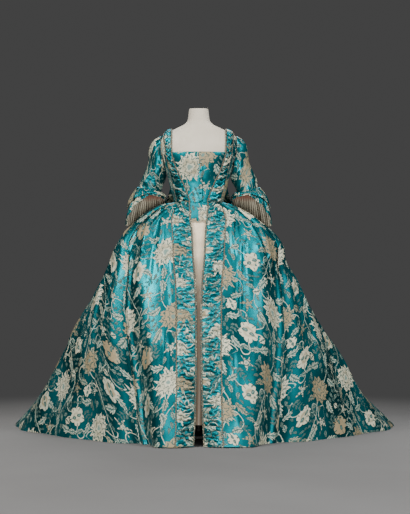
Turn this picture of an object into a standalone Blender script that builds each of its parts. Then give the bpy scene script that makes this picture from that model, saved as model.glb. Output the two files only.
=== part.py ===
"""Robe a la francaise, an open gown with a sack back, worn over a petticoat by a limbless dress form.

Metres, +Z up. The form's stand rests on z = 0 with its base centred on the origin, the gown faces -Y, and
the wearer's left is +X. Every cloth piece is a thin wall on one of three surfaces: the torso, the skirt and
the sack back. Trimming is built from the points of the surface that it lies on, moved out.
"""

import math

import bpy
from mathutils import Vector

# Cloth and seams
CLOTH = 0.0020
TRIM_CLOTH = 0.0015
SEAM_GAP = 0.0003
HALF_SEAM = SEAM_GAP / 2
UNDER_GAP = 0.0010
FORM_CLEARANCE = 0.0025
BODICE_LIFT = FORM_CLEARANCE + CLOTH
TRIM_LIFT = 0.0007
BODICE_TRIM_LIFT = 0.0009
WAIST_TRIM_LIFT = 0.0020

# Heights
WAIST_Z = 1.0625
NECKLINE_Z = 1.285
COMPERE_HEM_Z = 0.983
FRONT_HEM_LIFT = 0.010
SHAPE_FLOOR_Z = 0.004

# Bodice
SIDE_SEAM_DEG = 92.0
ARMHOLE_MIDDLE_Z = 1.285
ARMHOLE_DEPTH = 0.063
ARMHOLE_HALF_DEG = 22.0
ARMHOLE_TOP_X = 0.171
SHOULDER_SEAM_TURN = 100.0
STRAP_BACK_X = 0.078
SIDE_BACK_DEG = 148.0
COMPERE_UNDERLAP = 0.010
BUTTONS = 9
BUTTON_RADIUS = 0.0055
BUTTON_HEIGHT = 0.0032
BUTTON_X = 0.0085

BODICE_LEVELS = (1.0635, 1.074, 1.092, 1.120, 1.160, 1.200, 1.222, 1.240, 1.262)
COMPERE_LEVELS = (NECKLINE_Z, *reversed(BODICE_LEVELS), 1.040, 1.008, COMPERE_HEM_Z)

# Ruched robings, with a braid along both of their edges
BRAID_WIDTH = 0.0065
BRAID_HEIGHT = 0.0026
TRIM_GAP = 0.0009
SKIRT_ROBING_WIDTH = 0.078
WAIST_ROBING_WIDTH = 0.056
SKIRT_GATHERS = 44
BODICE_GATHERS = 15
PUFF_EDGE = 0.0030
PUFF_TOP = 0.0095
PUFF_VALLEY = 0.0035
ROBING_END_TURN = 118.0

PETTICOAT_COLUMNS = 7

# Sleeves and ruffles
SLEEVE_COLUMNS = 16
SLEEVE_HEAD_PUFF = 0.026
SLEEVE_SEAT = 0.0050
UPPER_WAVES = 12
LOWER_WAVES = 13
RUFFLE_TOP_WAVE = 0.0012
UPPER_HEM_WAVE = 0.0070
LOWER_HEM_WAVE = 0.0085
LOWER_RUFFLE_UP = 0.008
UPPER_RUFFLE_UP = 0.010
RUFFLE_SEAT = 0.0032
RUFFLE_STEP = 0.0027
RUFFLE_CLEARANCE = 0.010

# Dress form's stand
POLE_RADIUS = 0.016
BASE_RADIUS = 0.170
BASE_HEIGHT = 0.022
FORM_FOOT_Z = 0.880

# The wearer's left side of the train spreads a little wider than the right
SIDES = {
    "left": {"sign": 1, "tip_spread": 0.034, "corner": "corner_left_deg"},
    "right": {"sign": -1, "tip_spread": -0.032, "corner": "corner_right_deg"},
}
SPREAD_START_Z = 0.60


class Table:
    """Rows with named columns, read at any value of the first one along a smooth curve with no overshoot."""

    def __init__(self, columns, rows):
        self.columns = columns
        self.rows = sorted(rows)
        self.keys = [row[0] for row in self.rows]

    def chord(self, i, c):
        low, high = self.rows[i], self.rows[i + 1]
        return (high[c] - low[c]) / (high[0] - low[0])

    def slope(self, i, c):
        if i == 0:
            return self.chord(0, c)
        if i == len(self.rows) - 1:
            return self.chord(i - 1, c)
        before, after = self.chord(i - 1, c), self.chord(i, c)
        return 2 * before * after / (before + after) if before * after > 0 else 0.0

    def at(self, key, column):
        c = self.columns.index(column)
        key = min(max(key, self.keys[0]), self.keys[-1])
        i = max(k for k in range(len(self.keys) - 1) if self.keys[k] <= key)
        span = self.keys[i + 1] - self.keys[i]
        t = (key - self.keys[i]) / span
        low, high = self.rows[i][c], self.rows[i + 1][c]
        return (
            low * (1 + 2 * t) * (1 - t) ** 2
            + self.slope(i, c) * span * t * (1 - t) ** 2
            + high * t * t * (3 - 2 * t)
            - self.slope(i + 1, c) * span * t * t * (1 - t)
        )


TORSO = Table(
    ("z", "half_width", "front", "back"),
    (
        (0.8800, 0.142, 0.090, 0.108),
        (0.9600, 0.128, 0.088, 0.104),
        (1.0200, 0.114, 0.088, 0.094),
        (1.0625, 0.110, 0.092, 0.088),
        (1.1200, 0.122, 0.102, 0.092),
        (1.2000, 0.143, 0.122, 0.102),
        (1.2500, 0.160, 0.130, 0.108),
        (1.3000, 0.178, 0.120, 0.110),
        (1.3400, 0.177, 0.100, 0.107),
        (1.3660, 0.158, 0.083, 0.101),
        (1.3860, 0.126, 0.069, 0.091),
        (1.4020, 0.094, 0.059, 0.077),
        (1.4160, 0.066, 0.052, 0.063),
        (1.4360, 0.050, 0.047, 0.051),
        (1.4870, 0.043, 0.044, 0.046),
    ),
)
TORSO_POWER = 2.3

# Outer surface of the gown's skirt, before its folds. It leaves the bodice at the waist.
SKIRT = Table(
    (
        "z",
        "half_width",
        "middle",
        "front",
        "back",
        "power",
        "corner_left_deg",
        "corner_right_deg",
        "seam_deg",
    ),
    (
        (1.0625, 0.1132, 0.000, 0.0952, 0.0912, 2.30, 64, 60, 150),
        (1.0400, 0.1720, 0.000, 0.1080, 0.1150, 2.30, 66, 60, 149),
        (1.0080, 0.2330, 0.000, 0.1260, 0.1450, 2.30, 68, 59, 147),
        (0.9700, 0.2850, 0.002, 0.1470, 0.1800, 2.30, 69, 59, 145),
        (0.9250, 0.3400, 0.006, 0.1690, 0.2200, 2.30, 69, 58, 141),
        (0.8550, 0.3860, 0.015, 0.1980, 0.2850, 2.25, 65, 54, 135),
        (0.7800, 0.4060, 0.030, 0.2250, 0.3400, 2.20, 60, 50, 129),
        (0.6000, 0.5000, 0.105, 0.2820, 0.4650, 2.00, 49, 41, 117),
        (0.4000, 0.6120, 0.210, 0.3350, 0.6200, 1.80, 40, 33, 107),
        (0.2000, 0.7380, 0.330, 0.3800, 0.7800, 1.65, 33, 27, 98),
        (0.0800, 0.8350, 0.410, 0.4020, 0.8900, 1.55, 30, 25, 94),
        (0.0040, 0.9120, 0.460, 0.4120, 0.9700, 1.50, 28, 23, 91),
    ),
)
SKIRT_ROWS = [row[0] for row in reversed(SKIRT.rows)][:-1] + [0.0]

OPENING = Table(
    ("z", "half_width"),
    (
        (0.0000, 0.0165),
        (0.1000, 0.0130),
        (0.2000, 0.0110),
        (0.4000, 0.0085),
        (0.5500, 0.0085),
        (0.6900, 0.0115),
        (0.8000, 0.0210),
        (0.9360, 0.0275),
        (0.9830, 0.0340),
        (1.0625, 0.0375),
    ),
)

PETTICOAT = Table(
    ("z", "half_width", "middle", "front", "back", "power"),
    (
        (0.0900, 0.490, 0.100, 0.384, 0.450, 1.60),
        (0.2500, 0.470, 0.075, 0.350, 0.420, 1.65),
        (0.4500, 0.445, 0.045, 0.307, 0.380, 1.80),
        (0.6500, 0.412, 0.020, 0.250, 0.330, 2.00),
        (0.8200, 0.368, 0.004, 0.195, 0.255, 2.20),
        (0.9150, 0.313, 0.003, 0.157, 0.200, 2.30),
        (0.9600, 0.279, 0.002, 0.137, 0.165, 2.30),
        (1.0000, 0.222, 0.000, 0.117, 0.132, 2.30),
        (1.0300, 0.1500, 0.000, 0.1015, 0.105, 2.30),
        (1.0420, 0.1133, 0.000, 0.0938, 0.094, 2.30),
    ),
)

SACK = Table(
    ("z", "edge_x", "edge_y", "centre_y"),
    (
        (1.4040, 0.098, 0.080, 0.090),
        (1.3800, 0.102, 0.112, 0.126),
        (1.3000, 0.110, 0.140, 0.158),
        (1.1800, 0.122, 0.158, 0.186),
        (1.0625, 0.152, 0.174, 0.220),
        (0.9700, 0.232, 0.204, 0.265),
        (0.8550, 0.292, 0.232, 0.318),
        (0.7800, 0.330, 0.250, 0.355),
        (0.6000, 0.480, 0.280, 0.465),
        (0.4000, 0.590, 0.340, 0.620),
        (0.2000, 0.730, 0.400, 0.780),
        (0.0800, 0.830, 0.440, 0.890),
        (0.0040, 0.910, 0.470, 0.970),
    ),
)
SACK_TOP_Z = 1.404
SACK_NECK_DIP = 0.036
SACK_ROWS = [SACK_TOP_Z, 1.390, 1.365, 1.325, 1.255, 1.160] + [z for z in SKIRT_ROWS if z != 1.04]
SACK_FREE_Z = 0.960
SACK_JOINED_Z = 0.800

# Folds run down a panel. Places and widths are shares of the panel's width, from its front edge, or from the
# centre back on the sack. A lean of 1 would make a fold's far side upright, and -1 its near side.
FOLD_COLUMNS = (
    "panel",
    "top",
    "hem",
    "top_width",
    "hem_width",
    "top_height",
    "hem_height",
    "start_z",
    "lean",
)
FOLDS = (
    ("front", 0.66, 0.56, 0.55, 0.60, 0.006, 0.104, 0.98, 0.42),
    ("front", 0.95, 0.94, 0.05, 0.06, 0.003, 0.010, 0.90, 0.0),
    ("side", 0.11, 0.11, 0.15, 0.13, 0.006, 0.030, 0.98, -0.3),
    ("side", 0.36, 0.36, 0.18, 0.16, 0.002, 0.020, 0.85, 0.2),
    ("side", 0.64, 0.66, 0.18, 0.16, 0.002, 0.026, 0.80, 0.0),
    ("sack", 0.30, 0.24, 0.30, 0.17, 0.010, 0.034, 1.44, 0.0),
    ("sack", 0.80, 0.58, 0.20, 0.17, 0.008, 0.036, 1.44, 0.1),
)
# Pleats set into the waist seam over the panniers
WAIST_PLEATS = {"front": (0.66, 0.84), "side": (0.12, 0.30, 0.48, 0.66, 0.84)}
PLEAT_HALF_SHARE = 0.085
PLEAT_HEIGHT = 0.0060
PLEAT_FOOT_Z = 0.840

FRONT_COLUMNS = (0, 0.05, 0.13, 0.22, 0.31, 0.40, 0.49, 0.58, 0.66, 0.74, 0.80, 0.86, 0.90, 0.935, 0.97, 1)
SIDE_COLUMNS = 14
SACK_COLUMNS = 12

# Sleeve sections below the armhole: each leans out from the level by its own angle
SLEEVE = Table(
    ("step", "x", "y", "z", "lean_deg", "radius"),
    (
        (2, 0.1870, 0.008, 1.2200, 30, 0.0500),
        (3, 0.1965, 0.012, 1.1900, 14, 0.0530),
        (4, 0.2130, 0.016, 1.1500, 12, 0.0535),
        (5, 0.2250, 0.020, 1.1100, 12, 0.0520),
    ),
)

# Ruffles round the cuff: 0 degrees is the front, 90 the outside, 180 the elbow's back and 270 the inside
RUFFLE_COLUMNS = ("deg", "drop", "flare")
LOWER_RUFFLE = Table(
    RUFFLE_COLUMNS,
    (
        (0, 0.024, 0.012),
        (45, 0.080, 0.034),
        (90, 0.168, 0.050),
        (135, 0.180, 0.048),
        (180, 0.130, 0.034),
        (225, 0.085, 0.022),
        (270, 0.048, 0.014),
        (315, 0.026, 0.012),
        (360, 0.024, 0.012),
    ),
)
UPPER_RUFFLE = Table(
    RUFFLE_COLUMNS,
    (
        (0, 0.018, 0.014),
        (45, 0.048, 0.030),
        (90, 0.090, 0.042),
        (135, 0.098, 0.044),
        (180, 0.072, 0.034),
        (225, 0.048, 0.022),
        (270, 0.028, 0.016),
        (315, 0.020, 0.015),
        (360, 0.018, 0.014),
    ),
)

# Inner edge and width of the bodice robing, up the front and then over the shoulder
ROBING = Table(
    ("rise", "inner_x", "width"),
    (
        (1.0625, 0.0335, 0.0640),
        (1.1200, 0.0530, 0.0580),
        (1.1700, 0.0750, 0.0510),
        (1.2100, 0.0930, 0.0400),
        (1.2500, 0.1070, 0.0310),
        (1.2850, 0.1155, 0.0270),
        (1.3800, 0.1175, 0.0320),
        (1.4600, 0.1170, 0.0320),
        (1.6000, 0.1090, 0.0310),
    ),
)
# Length of the front robing's path for each radian that it turns over the shoulder
TURN_RADIUS = 0.095

COLOURS = {
    "brocade_silk": (0.018, 0.225, 0.245),
    "ruffle_silk": (0.060, 0.260, 0.260),
    "petticoat_silk": (0.640, 0.580, 0.470),
    "fly_braid": (0.240, 0.190, 0.110),
    "form_jersey": (0.640, 0.610, 0.550),
    "stand_metal": (0.080, 0.075, 0.070),
}
METALS = {"stand_metal"}


def mix(a, b, t):
    return a + (b - a) * t


def smooth(t):
    t = min(max(t, 0.0), 1.0)
    return t * t * (3 - 2 * t)


def shares(count):
    return [i / count for i in range(count + 1)]


def section(degrees, half_width, middle, front, back, power):
    """A point of a section at an angle from its front: 0 is -Y, 90 is +X and 180 is +Y."""
    sine = math.sin(math.radians(degrees))
    cosine = math.cos(math.radians(degrees))
    x = half_width * math.copysign(abs(sine) ** (2 / power), sine)
    depth = (front + middle) if cosine > 0 else (back - middle)
    y = middle - depth * math.copysign(abs(cosine) ** (2 / power), cosine)
    return x, y


def section_degrees(x, half_width, power):
    """The angle in front at which a section is x from its middle."""
    return math.degrees(math.asin(min(x / half_width, 1.0) ** (power / 2)))


def table_section(table, degrees, z):
    return section(degrees, *(table.at(z, c) for c in ("half_width", "middle", "front", "back", "power")))


def lifted(surface, u, v, lift):
    """A point of surface(u, v) moved out along its normal. A negative lift moves it in."""
    step = 2e-4
    du = surface(u + step, v) - surface(u - step, v)
    dv = surface(u, v + step) - surface(u, v - step)
    return surface(u, v) + du.cross(dv).normalized() * lift


# Torso


def torso_value(p):
    """Below zero inside the form and above it outside."""
    depth = TORSO.at(p.z, "front" if p.y < 0 else "back")
    return (abs(p.x) / TORSO.at(p.z, "half_width")) ** TORSO_POWER + (abs(p.y) / depth) ** TORSO_POWER - 1


def off_form(sign, p, lift):
    """A point of the form moved out along its normal, on the wearer's left for sign 1."""
    step = 1e-4
    slope = [
        torso_value(p + Vector(axis) * step) - torso_value(p - Vector(axis) * step)
        for axis in ((1, 0, 0), (0, 1, 0), (0, 0, 1))
    ]
    p = p + Vector(slope).normalized() * lift
    return Vector((sign * p.x, p.y, p.z))


def round_form(sign, degrees, z, lift):
    """A point at an angle round the form and a height."""
    x, y = section(
        degrees, TORSO.at(z, "half_width"), 0, TORSO.at(z, "front"), TORSO.at(z, "back"), TORSO_POWER
    )
    return off_form(sign, Vector((x, y, z)), lift)


def over_shoulder(sign, x, turn, lift):
    """A point over the shoulder: turn 0 is level in front, 90 straight up and 180 level behind."""
    cosine, sine = math.cos(math.radians(turn)), math.sin(math.radians(turn))
    near, far = 0.0, 0.20
    for _ in range(40):
        middle = (near + far) / 2
        p = Vector((x, -middle * cosine, ARMHOLE_MIDDLE_Z + middle * sine))
        if torso_value(p) < 0:
            near = middle
        else:
            far = middle
    return off_form(sign, p, lift)


def rise_turn(rise):
    return math.degrees((rise - ARMHOLE_MIDDLE_Z) / TURN_RADIUS)


def armhole_degrees(z, behind, grown=0.0):
    """The armhole's edge below its middle, in front of the side seam or behind it."""
    drop = (ARMHOLE_MIDDLE_Z - z) / (ARMHOLE_DEPTH + grown)
    half = ARMHOLE_HALF_DEG + math.degrees(grown / 0.15)
    away = half * math.sqrt(max(0.0, 1 - drop * drop))
    return SIDE_SEAM_DEG + (away if behind else -away)


def armhole_x(turn, grown=0.0):
    """The armhole's edge above its middle."""
    degrees = armhole_degrees(ARMHOLE_MIDDLE_Z, False, grown)
    side = round_form(1, degrees, ARMHOLE_MIDDLE_Z, 0).x
    return mix(side, ARMHOLE_TOP_X - grown, math.sin(math.radians(turn)) ** 2)


# Skirt and sack


def fold_height(panel, share, z):
    """How far the folds and waist pleats of a panel stand out at a share of its width."""
    height = 0.0
    for row in FOLDS:
        fold = dict(zip(FOLD_COLUMNS, row))
        if fold["panel"] != panel:
            continue
        down = min(max((fold["start_z"] - z) / fold["start_z"], 0.0), 1.0)
        centre = mix(fold["top"], fold["hem"], down)
        width = mix(fold["top_width"], fold["hem_width"], down)
        away = (share - centre) / width
        away /= 1 - fold["lean"] if away > 0 else 1 + fold["lean"]
        tall = mix(fold["top_height"], fold["hem_height"], down) * smooth(down * 8)
        height += tall * smooth(1 - abs(away))
    kept = smooth((z - PLEAT_FOOT_Z) / (1.02 - PLEAT_FOOT_Z)) * smooth((WAIST_Z - z) / 0.01)
    for centre in WAIST_PLEATS.get(panel, ()):
        height += PLEAT_HEIGHT * kept * smooth(1 - abs(share - centre) / PLEAT_HALF_SHARE)
    return height


def skirt_section(side, degrees, z):
    """The skirt's section at a height, before its folds."""
    x, y = table_section(SKIRT, degrees, z)
    return x * (1 + side["tip_spread"] * max(0.0, 1 - z / SPREAD_START_Z)), y


def row_z(rows, v):
    """Height at v, where a panel's rows are evenly spaced in v."""
    at = v * (len(rows) - 1)
    i = min(max(int(at), 0), len(rows) - 2)
    return mix(rows[i], rows[i + 1], at - i)


def plan_normal(ring, share):
    """The direction out of a section, square to it, on the wearer's left."""
    step = 1e-3
    ahead, behind = ring(share + step), ring(share - step)
    return Vector((ahead[0] - behind[0], ahead[1] - behind[1], 0)).normalized().cross(Vector((0, 0, 1)))


def folded(ring, share, height, z, sign):
    x, y = ring(share)
    p = Vector((x, y, z)) + plan_normal(ring, share) * height
    return Vector((sign * p.x, p.y, p.z))


def front_edge_degrees(z):
    return section_degrees(OPENING.at(z, "half_width"), SKIRT.at(z, "half_width"), SKIRT.at(z, "power"))


def front_panel(side):
    """The gown's front skirt: u runs from the front edge to the deep fold at the pannier's corner."""

    def surface(u, v):
        z = row_z(SKIRT_ROWS, v)
        shape_z = max(z, SHAPE_FLOOR_Z)
        start, end = front_edge_degrees(shape_z), SKIRT.at(shape_z, side["corner"])
        p = folded(
            lambda share: skirt_section(side, mix(start, end, share), shape_z),
            u,
            fold_height("front", u, shape_z),
            shape_z,
            side["sign"],
        )
        p.z = z + FRONT_HEM_LIFT * smooth(1 - z / 0.3) * smooth((1 - u) * 2)
        return p

    return surface


def side_panel(side):
    """The gown's side skirt: u runs from the deep fold to the seam with the sack back."""

    def surface(u, v):
        z = row_z(SKIRT_ROWS, v)
        shape_z = max(z, SHAPE_FLOOR_Z)
        start, end = SKIRT.at(shape_z, side["corner"]), SKIRT.at(shape_z, "seam_deg")
        p = folded(
            lambda share: skirt_section(side, mix(start, end, share), shape_z),
            u,
            fold_height("side", u, shape_z),
            shape_z,
            side["sign"],
        )
        p.z = z
        return p

    return surface


def sack_panel(side):
    """Half the sack back: u runs from its edge to the centre back, and v from the neck to the train's hem."""

    def surface(u, v):
        z = row_z(SACK_ROWS, v)
        shape_z = max(z, SHAPE_FLOOR_Z)
        seam_x, seam_y = skirt_section(side, SKIRT.at(shape_z, "seam_deg"), shape_z)
        joined = smooth((SACK_FREE_Z - shape_z) / (SACK_FREE_Z - SACK_JOINED_Z))
        edge_x = mix(SACK.at(shape_z, "edge_x"), seam_x, joined)
        edge_y = mix(SACK.at(shape_z, "edge_y"), seam_y, joined)
        centre_y = SACK.at(shape_z, "centre_y")

        rounded = smooth((1.1 - shape_z) / 0.3)

        def ring(share):
            angle = math.radians(90 * share)
            along = mix(share, math.sin(angle), rounded)
            out = mix(1 - share * share, math.cos(angle), rounded)
            return edge_x * along, edge_y + (centre_y - edge_y) * out

        share = 1 - u
        away = -1 if side["sign"] > 0 else 1
        p = Vector((*ring(share), shape_z))
        p -= plan_normal(ring, share) * fold_height("sack", share, shape_z)
        near_top = smooth((z - 1.28) / (SACK_TOP_Z - 1.28))
        low = z - SACK_NECK_DIP * share * share * near_top
        close = smooth((z - 1.33) / (SACK_TOP_Z - 1.33))
        if close > 0:
            half_width = TORSO.at(low, "half_width")
            reach = max(0.0, 1 - (min(p.x, half_width) / half_width) ** TORSO_POWER) ** (1 / TORSO_POWER)
            snug_y = TORSO.at(low, "back") * reach + 0.012
            p.y = mix(p.y, snug_y, close)
        return Vector((-away * p.x, p.y, low))

    return surface


# Meshes


def new_object(name, points, faces, material, flip=False):
    if flip:
        faces = [tuple(reversed(face)) for face in faces]
    mesh = bpy.data.meshes.new(name)
    mesh.from_pydata([tuple(p) for p in points], [], faces)
    mesh.materials.append(MATERIALS[material])
    mesh.shade_smooth()
    mesh.set_sharp_from_angle(angle=math.radians(50))
    made = bpy.data.objects.new(name, mesh)
    PARTS.objects.link(made)
    return made


def wall(name, outer, inner, material, flip, closed=False):
    """A cloth wall between an outer and an inner grid of points, with its rims."""
    rows, columns = len(outer), len(outer[0])
    spans = columns if closed else columns - 1
    points = [p for grid in (outer, inner) for row in grid for p in row]

    def at(row, column, layer):
        return (layer * rows + row) * columns + column % columns

    faces = []
    for c in range(spans):
        for r in range(rows - 1):
            faces.append((at(r, c, 0), at(r + 1, c, 0), at(r + 1, c + 1, 0), at(r, c + 1, 0)))
            faces.append((at(r, c, 1), at(r, c + 1, 1), at(r + 1, c + 1, 1), at(r + 1, c, 1)))
        last = rows - 1
        faces.append((at(0, c, 0), at(0, c + 1, 0), at(0, c + 1, 1), at(0, c, 1)))
        faces.append((at(last, c, 0), at(last, c, 1), at(last, c + 1, 1), at(last, c + 1, 0)))
    if not closed:
        last = columns - 1
        for r in range(rows - 1):
            faces.append((at(r, 0, 0), at(r, 0, 1), at(r + 1, 0, 1), at(r + 1, 0, 0)))
            faces.append((at(r, last, 0), at(r + 1, last, 0), at(r + 1, last, 1), at(r, last, 1)))
    return new_object(name, points, faces, material, flip)


def panel_grids(surface, us, vs, sign, thickness=CLOTH):
    """Outer and inner points of a panel, whose side edges stop half a seam short."""
    outer, inner = [], []
    for v in vs:
        run = sum((surface(b / 8, v) - surface((b - 1) / 8, v)).length for b in range(1, 9))
        trim = HALF_SEAM / run
        places = [mix(trim, 1 - trim, u) for u in us]
        outer.append([surface(u, v) for u in places])
        inner.append([lifted(surface, u, v, sign * thickness) for u in places])
    return outer, inner


def on_grid(grid, across, down):
    """A point on a grid's facets at fractional column and row numbers."""
    c = min(max(int(across), 0), len(grid[0]) - 2)
    r = min(max(int(down), 0), len(grid) - 2)
    a, b = across - c, down - r
    top = grid[r][c].lerp(grid[r][c + 1], a)
    return top.lerp(grid[r + 1][c].lerp(grid[r + 1][c + 1], a), b)


class GridStrip:
    """A strip of a panel at set distances from its first edge, for trimming to lie on."""

    def __init__(self, grid, sign):
        self.grid = grid
        self.sign = sign

    def column_at(self, down, distance):
        run = 0.0
        last = on_grid(self.grid, 0, down)
        for c in range(1, len(self.grid[0])):
            p = on_grid(self.grid, c, down)
            length = (p - last).length
            if run + length >= distance:
                return c - 1 + (distance - run) / length
            run, last = run + length, p
        return len(self.grid[0]) - 1

    def point(self, down, distance, lift):
        lift += WAIST_TRIM_LIFT * max(0.0, 1 - down)
        across = self.column_at(down, distance)
        p = on_grid(self.grid, across, down)
        along = on_grid(self.grid, across + 0.02, down) - on_grid(self.grid, max(across - 0.02, 0), down)
        down_step = on_grid(self.grid, across, min(down + 0.3, len(self.grid) - 1)) - on_grid(
            self.grid, across, max(down - 0.3, 0)
        )
        return p + down_step.cross(along).normalized() * (self.sign * lift)


def even_downs(place, count, rows):
    """Fractional row numbers that cut a path into equal lengths."""
    steps = 12 * (rows - 1)
    lengths, last = [0.0], place(0)
    for i in range(1, steps + 1):
        p = place(i * (rows - 1) / steps)
        lengths.append(lengths[-1] + (p - last).length)
        last = p
    found, i = [], 0
    for k in range(count + 1):
        target = lengths[-1] * k / count
        while i < steps - 1 and lengths[i + 1] < target:
            i += 1
        part = (target - lengths[i]) / (lengths[i + 1] - lengths[i])
        found.append(min((i + part) * (rows - 1) / steps, rows - 1))
    return found


def ruched_band(name, place, downs, start, width, sign, spans):
    """A gathered band: every other row stands up as a puff. place(down, distance, lift) gives its points."""
    across = shares(spans)
    outer, inner = [], []
    for k, down in enumerate(downs):
        heights = [PUFF_TOP if k % 2 else PUFF_VALLEY] * (spans + 1)
        heights[0] = heights[-1] = PUFF_EDGE
        distance = [start(down) + width(down) * a for a in across]
        outer.append([place(down, d, TRIM_LIFT + h) for d, h in zip(distance, heights)])
        inner.append([place(down, d, TRIM_LIFT + h - TRIM_CLOTH) for d, h in zip(distance, heights)])
    wall(name, outer, inner, "brocade_silk", sign < 0)


def braid(name, place, downs, start, sign):
    outer = [[place(d, start(d) + BRAID_WIDTH * a, TRIM_LIFT + BRAID_HEIGHT) for a in (0, 1)] for d in downs]
    inner = [[place(d, start(d) + BRAID_WIDTH * a, TRIM_LIFT) for a in (0, 1)] for d in downs]
    wall(name, outer, inner, "fly_braid", sign < 0)


def adopt(made, name, material):
    """Names an object made by an operator, gives it its material and moves it to the parts."""
    made.name = name
    made.data.name = name
    made.data.materials.append(MATERIALS[material])
    made.data.shade_smooth()
    made.data.set_sharp_from_angle(angle=math.radians(40))
    for collection in list(made.users_collection):
        collection.objects.unlink(made)
    PARTS.objects.link(made)
    return made


def build_form():
    """The smooth form, from its foot to the flat top of the neck."""
    columns = 22
    rows = [row[0] for row in TORSO.rows] + [1.090, 1.160, 1.226, 1.274, 1.320, 1.354, 1.376, 1.409]
    rows.sort()
    points = []
    for z in rows:
        for c in range(columns):
            degrees = 360 * c / columns
            sign = 1 if degrees <= 180 else -1
            points.append(round_form(sign, min(degrees, 360 - degrees), z, 0))
    faces = [tuple(range(columns - 1, -1, -1)), tuple(range(len(points) - columns, len(points)))]
    for r in range(len(rows) - 1):
        for c in range(columns):
            here, beside = r * columns + c, r * columns + (c + 1) % columns
            faces.append((here, beside, beside + columns, here + columns))
    new_object("form_torso", points, faces, "form_jersey")


def build_stand():
    """A pole under the form, and the round base that it stands on."""
    bpy.ops.mesh.primitive_cylinder_add(
        vertices=16,
        radius=POLE_RADIUS,
        depth=FORM_FOOT_Z - BASE_HEIGHT - 2 * SEAM_GAP,
        location=(0, 0, (FORM_FOOT_Z + BASE_HEIGHT) / 2),
    )
    adopt(bpy.context.object, "stand_pole", "stand_metal")
    bpy.ops.mesh.primitive_cylinder_add(
        vertices=24, radius=BASE_RADIUS, depth=BASE_HEIGHT, location=(0, 0, BASE_HEIGHT / 2)
    )
    base = adopt(bpy.context.object, "stand_base", "stand_metal")
    rim = base.modifiers.new("rounded_rim", "BEVEL")
    rim.width = BASE_HEIGHT * 0.3
    rim.segments = 1
    rim.limit_method = "ANGLE"


def tube_inside(outer):
    """The inner points of a tube's wall, moved in from the outer ones along the tube's own normals."""
    inner = []
    for r, row in enumerate(outer):
        above, below = outer[max(r - 1, 0)], outer[min(r + 1, len(outer) - 1)]
        columns = len(row)
        inner.append([
            row[c] - (below[c] - above[c]).cross(row[(c + 1) % columns] - row[c - 1]).normalized() * CLOTH
            for c in range(columns)
        ])
    return inner


def build_petticoat():
    """The petticoat inside the gown's skirt, seamed from four widths that meet at its corners."""
    columns = 4 * PETTICOAT_COLUMNS
    outer = []
    for z in [row[0] for row in reversed(PETTICOAT.rows)]:
        ring = [table_section(PETTICOAT, 45 + 360 * c / columns, z) for c in range(columns)]
        outer.append([Vector((x, y, z)) for x, y in ring])
    inner = tube_inside(outer)
    for i, name in enumerate(("side_left", "back", "side_right", "front")):
        first = i * PETTICOAT_COLUMNS
        grids = []
        for grid in (outer, inner):
            cut = []
            for row in grid:
                width = [row[(first + c) % columns].copy() for c in range(PETTICOAT_COLUMNS + 1)]
                width[0] += (width[1] - width[0]).normalized() * HALF_SEAM
                width[-1] += (width[-2] - width[-1]).normalized() * HALF_SEAM
                cut.append(width)
            grids.append(cut)
        wall(f"petticoat_{name}", *grids, "petticoat_silk", False)


def compere_edge(z):
    """How far the false front reaches from the middle: under the robing, or between the skirt's edges."""
    if z < WAIST_Z:
        return OPENING.at(z, "half_width") - UNDER_GAP
    rise = min(z, ARMHOLE_MIDDLE_Z)
    spread = smooth((z - WAIST_Z) / 0.012)
    return mix(OPENING.at(WAIST_Z, "half_width") - UNDER_GAP, ROBING.at(rise, "inner_x") + COMPERE_UNDERLAP, spread)


def compere_point(x, z):
    """A point of the false front on the wearer's left."""
    if z >= WAIST_Z:
        degrees = section_degrees(x, TORSO.at(z, "half_width"), TORSO_POWER)
        return round_form(1, degrees, z, BODICE_LIFT)
    degrees = section_degrees(x, SKIRT.at(z, "half_width"), SKIRT.at(z, "power"))
    return Vector((*skirt_section(SIDES["left"], degrees, z), z))


def build_compere(side_name, side):
    """Half the false front, from the square neckline to its point below the waist."""
    sign = side["sign"]

    def surface(u, v):
        z = row_z(COMPERE_LEVELS, v)
        p = compere_point(mix(HALF_SEAM, compere_edge(z), u), z)
        return Vector((sign * p.x, p.y, p.z))

    us, vs = shares(4), shares(len(COMPERE_LEVELS) - 1)
    outer = [[surface(u, v) for u in us] for v in vs]
    inner = [[lifted(surface, max(u, 0.01), v, sign * CLOTH) for u in us] for v in vs]
    for row_out, row_in in zip(outer, inner):
        row_in[0].x = row_out[0].x
    for row in (outer[-1], inner[-1]):
        for p in row:
            p.z -= 0.010 * (1 - abs(p.x) / 0.034)
    wall(f"compere_{side_name}", outer, inner, "brocade_silk", sign < 0)


def build_buttons():
    """Buttons down the closing edge of the false front."""
    top, bottom = NECKLINE_Z - 0.014, 1.000
    for i in range(BUTTONS):
        z = mix(top, bottom, i / (BUTTONS - 1))
        above = min(level for level in COMPERE_LEVELS if level > z)
        below = max(level for level in COMPERE_LEVELS if level <= z)
        high, low = compere_point(BUTTON_X, above), compere_point(BUTTON_X, below)
        beside = compere_point(BUTTON_X * 2, z) - compere_point(BUTTON_X, z)
        out = beside.cross(high - low).normalized()
        foot = low.lerp(high, (z - low.z) / (high.z - low.z)) + out * 0.0004
        bpy.ops.mesh.primitive_cone_add(
            vertices=10,
            radius1=BUTTON_RADIUS,
            radius2=BUTTON_RADIUS * 0.6,
            depth=BUTTON_HEIGHT,
            location=foot + out * BUTTON_HEIGHT / 2,
            rotation=out.to_track_quat("Z", "Y").to_euler(),
        )
        adopt(bpy.context.object, f"button_{i + 1}", "brocade_silk")


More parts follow.
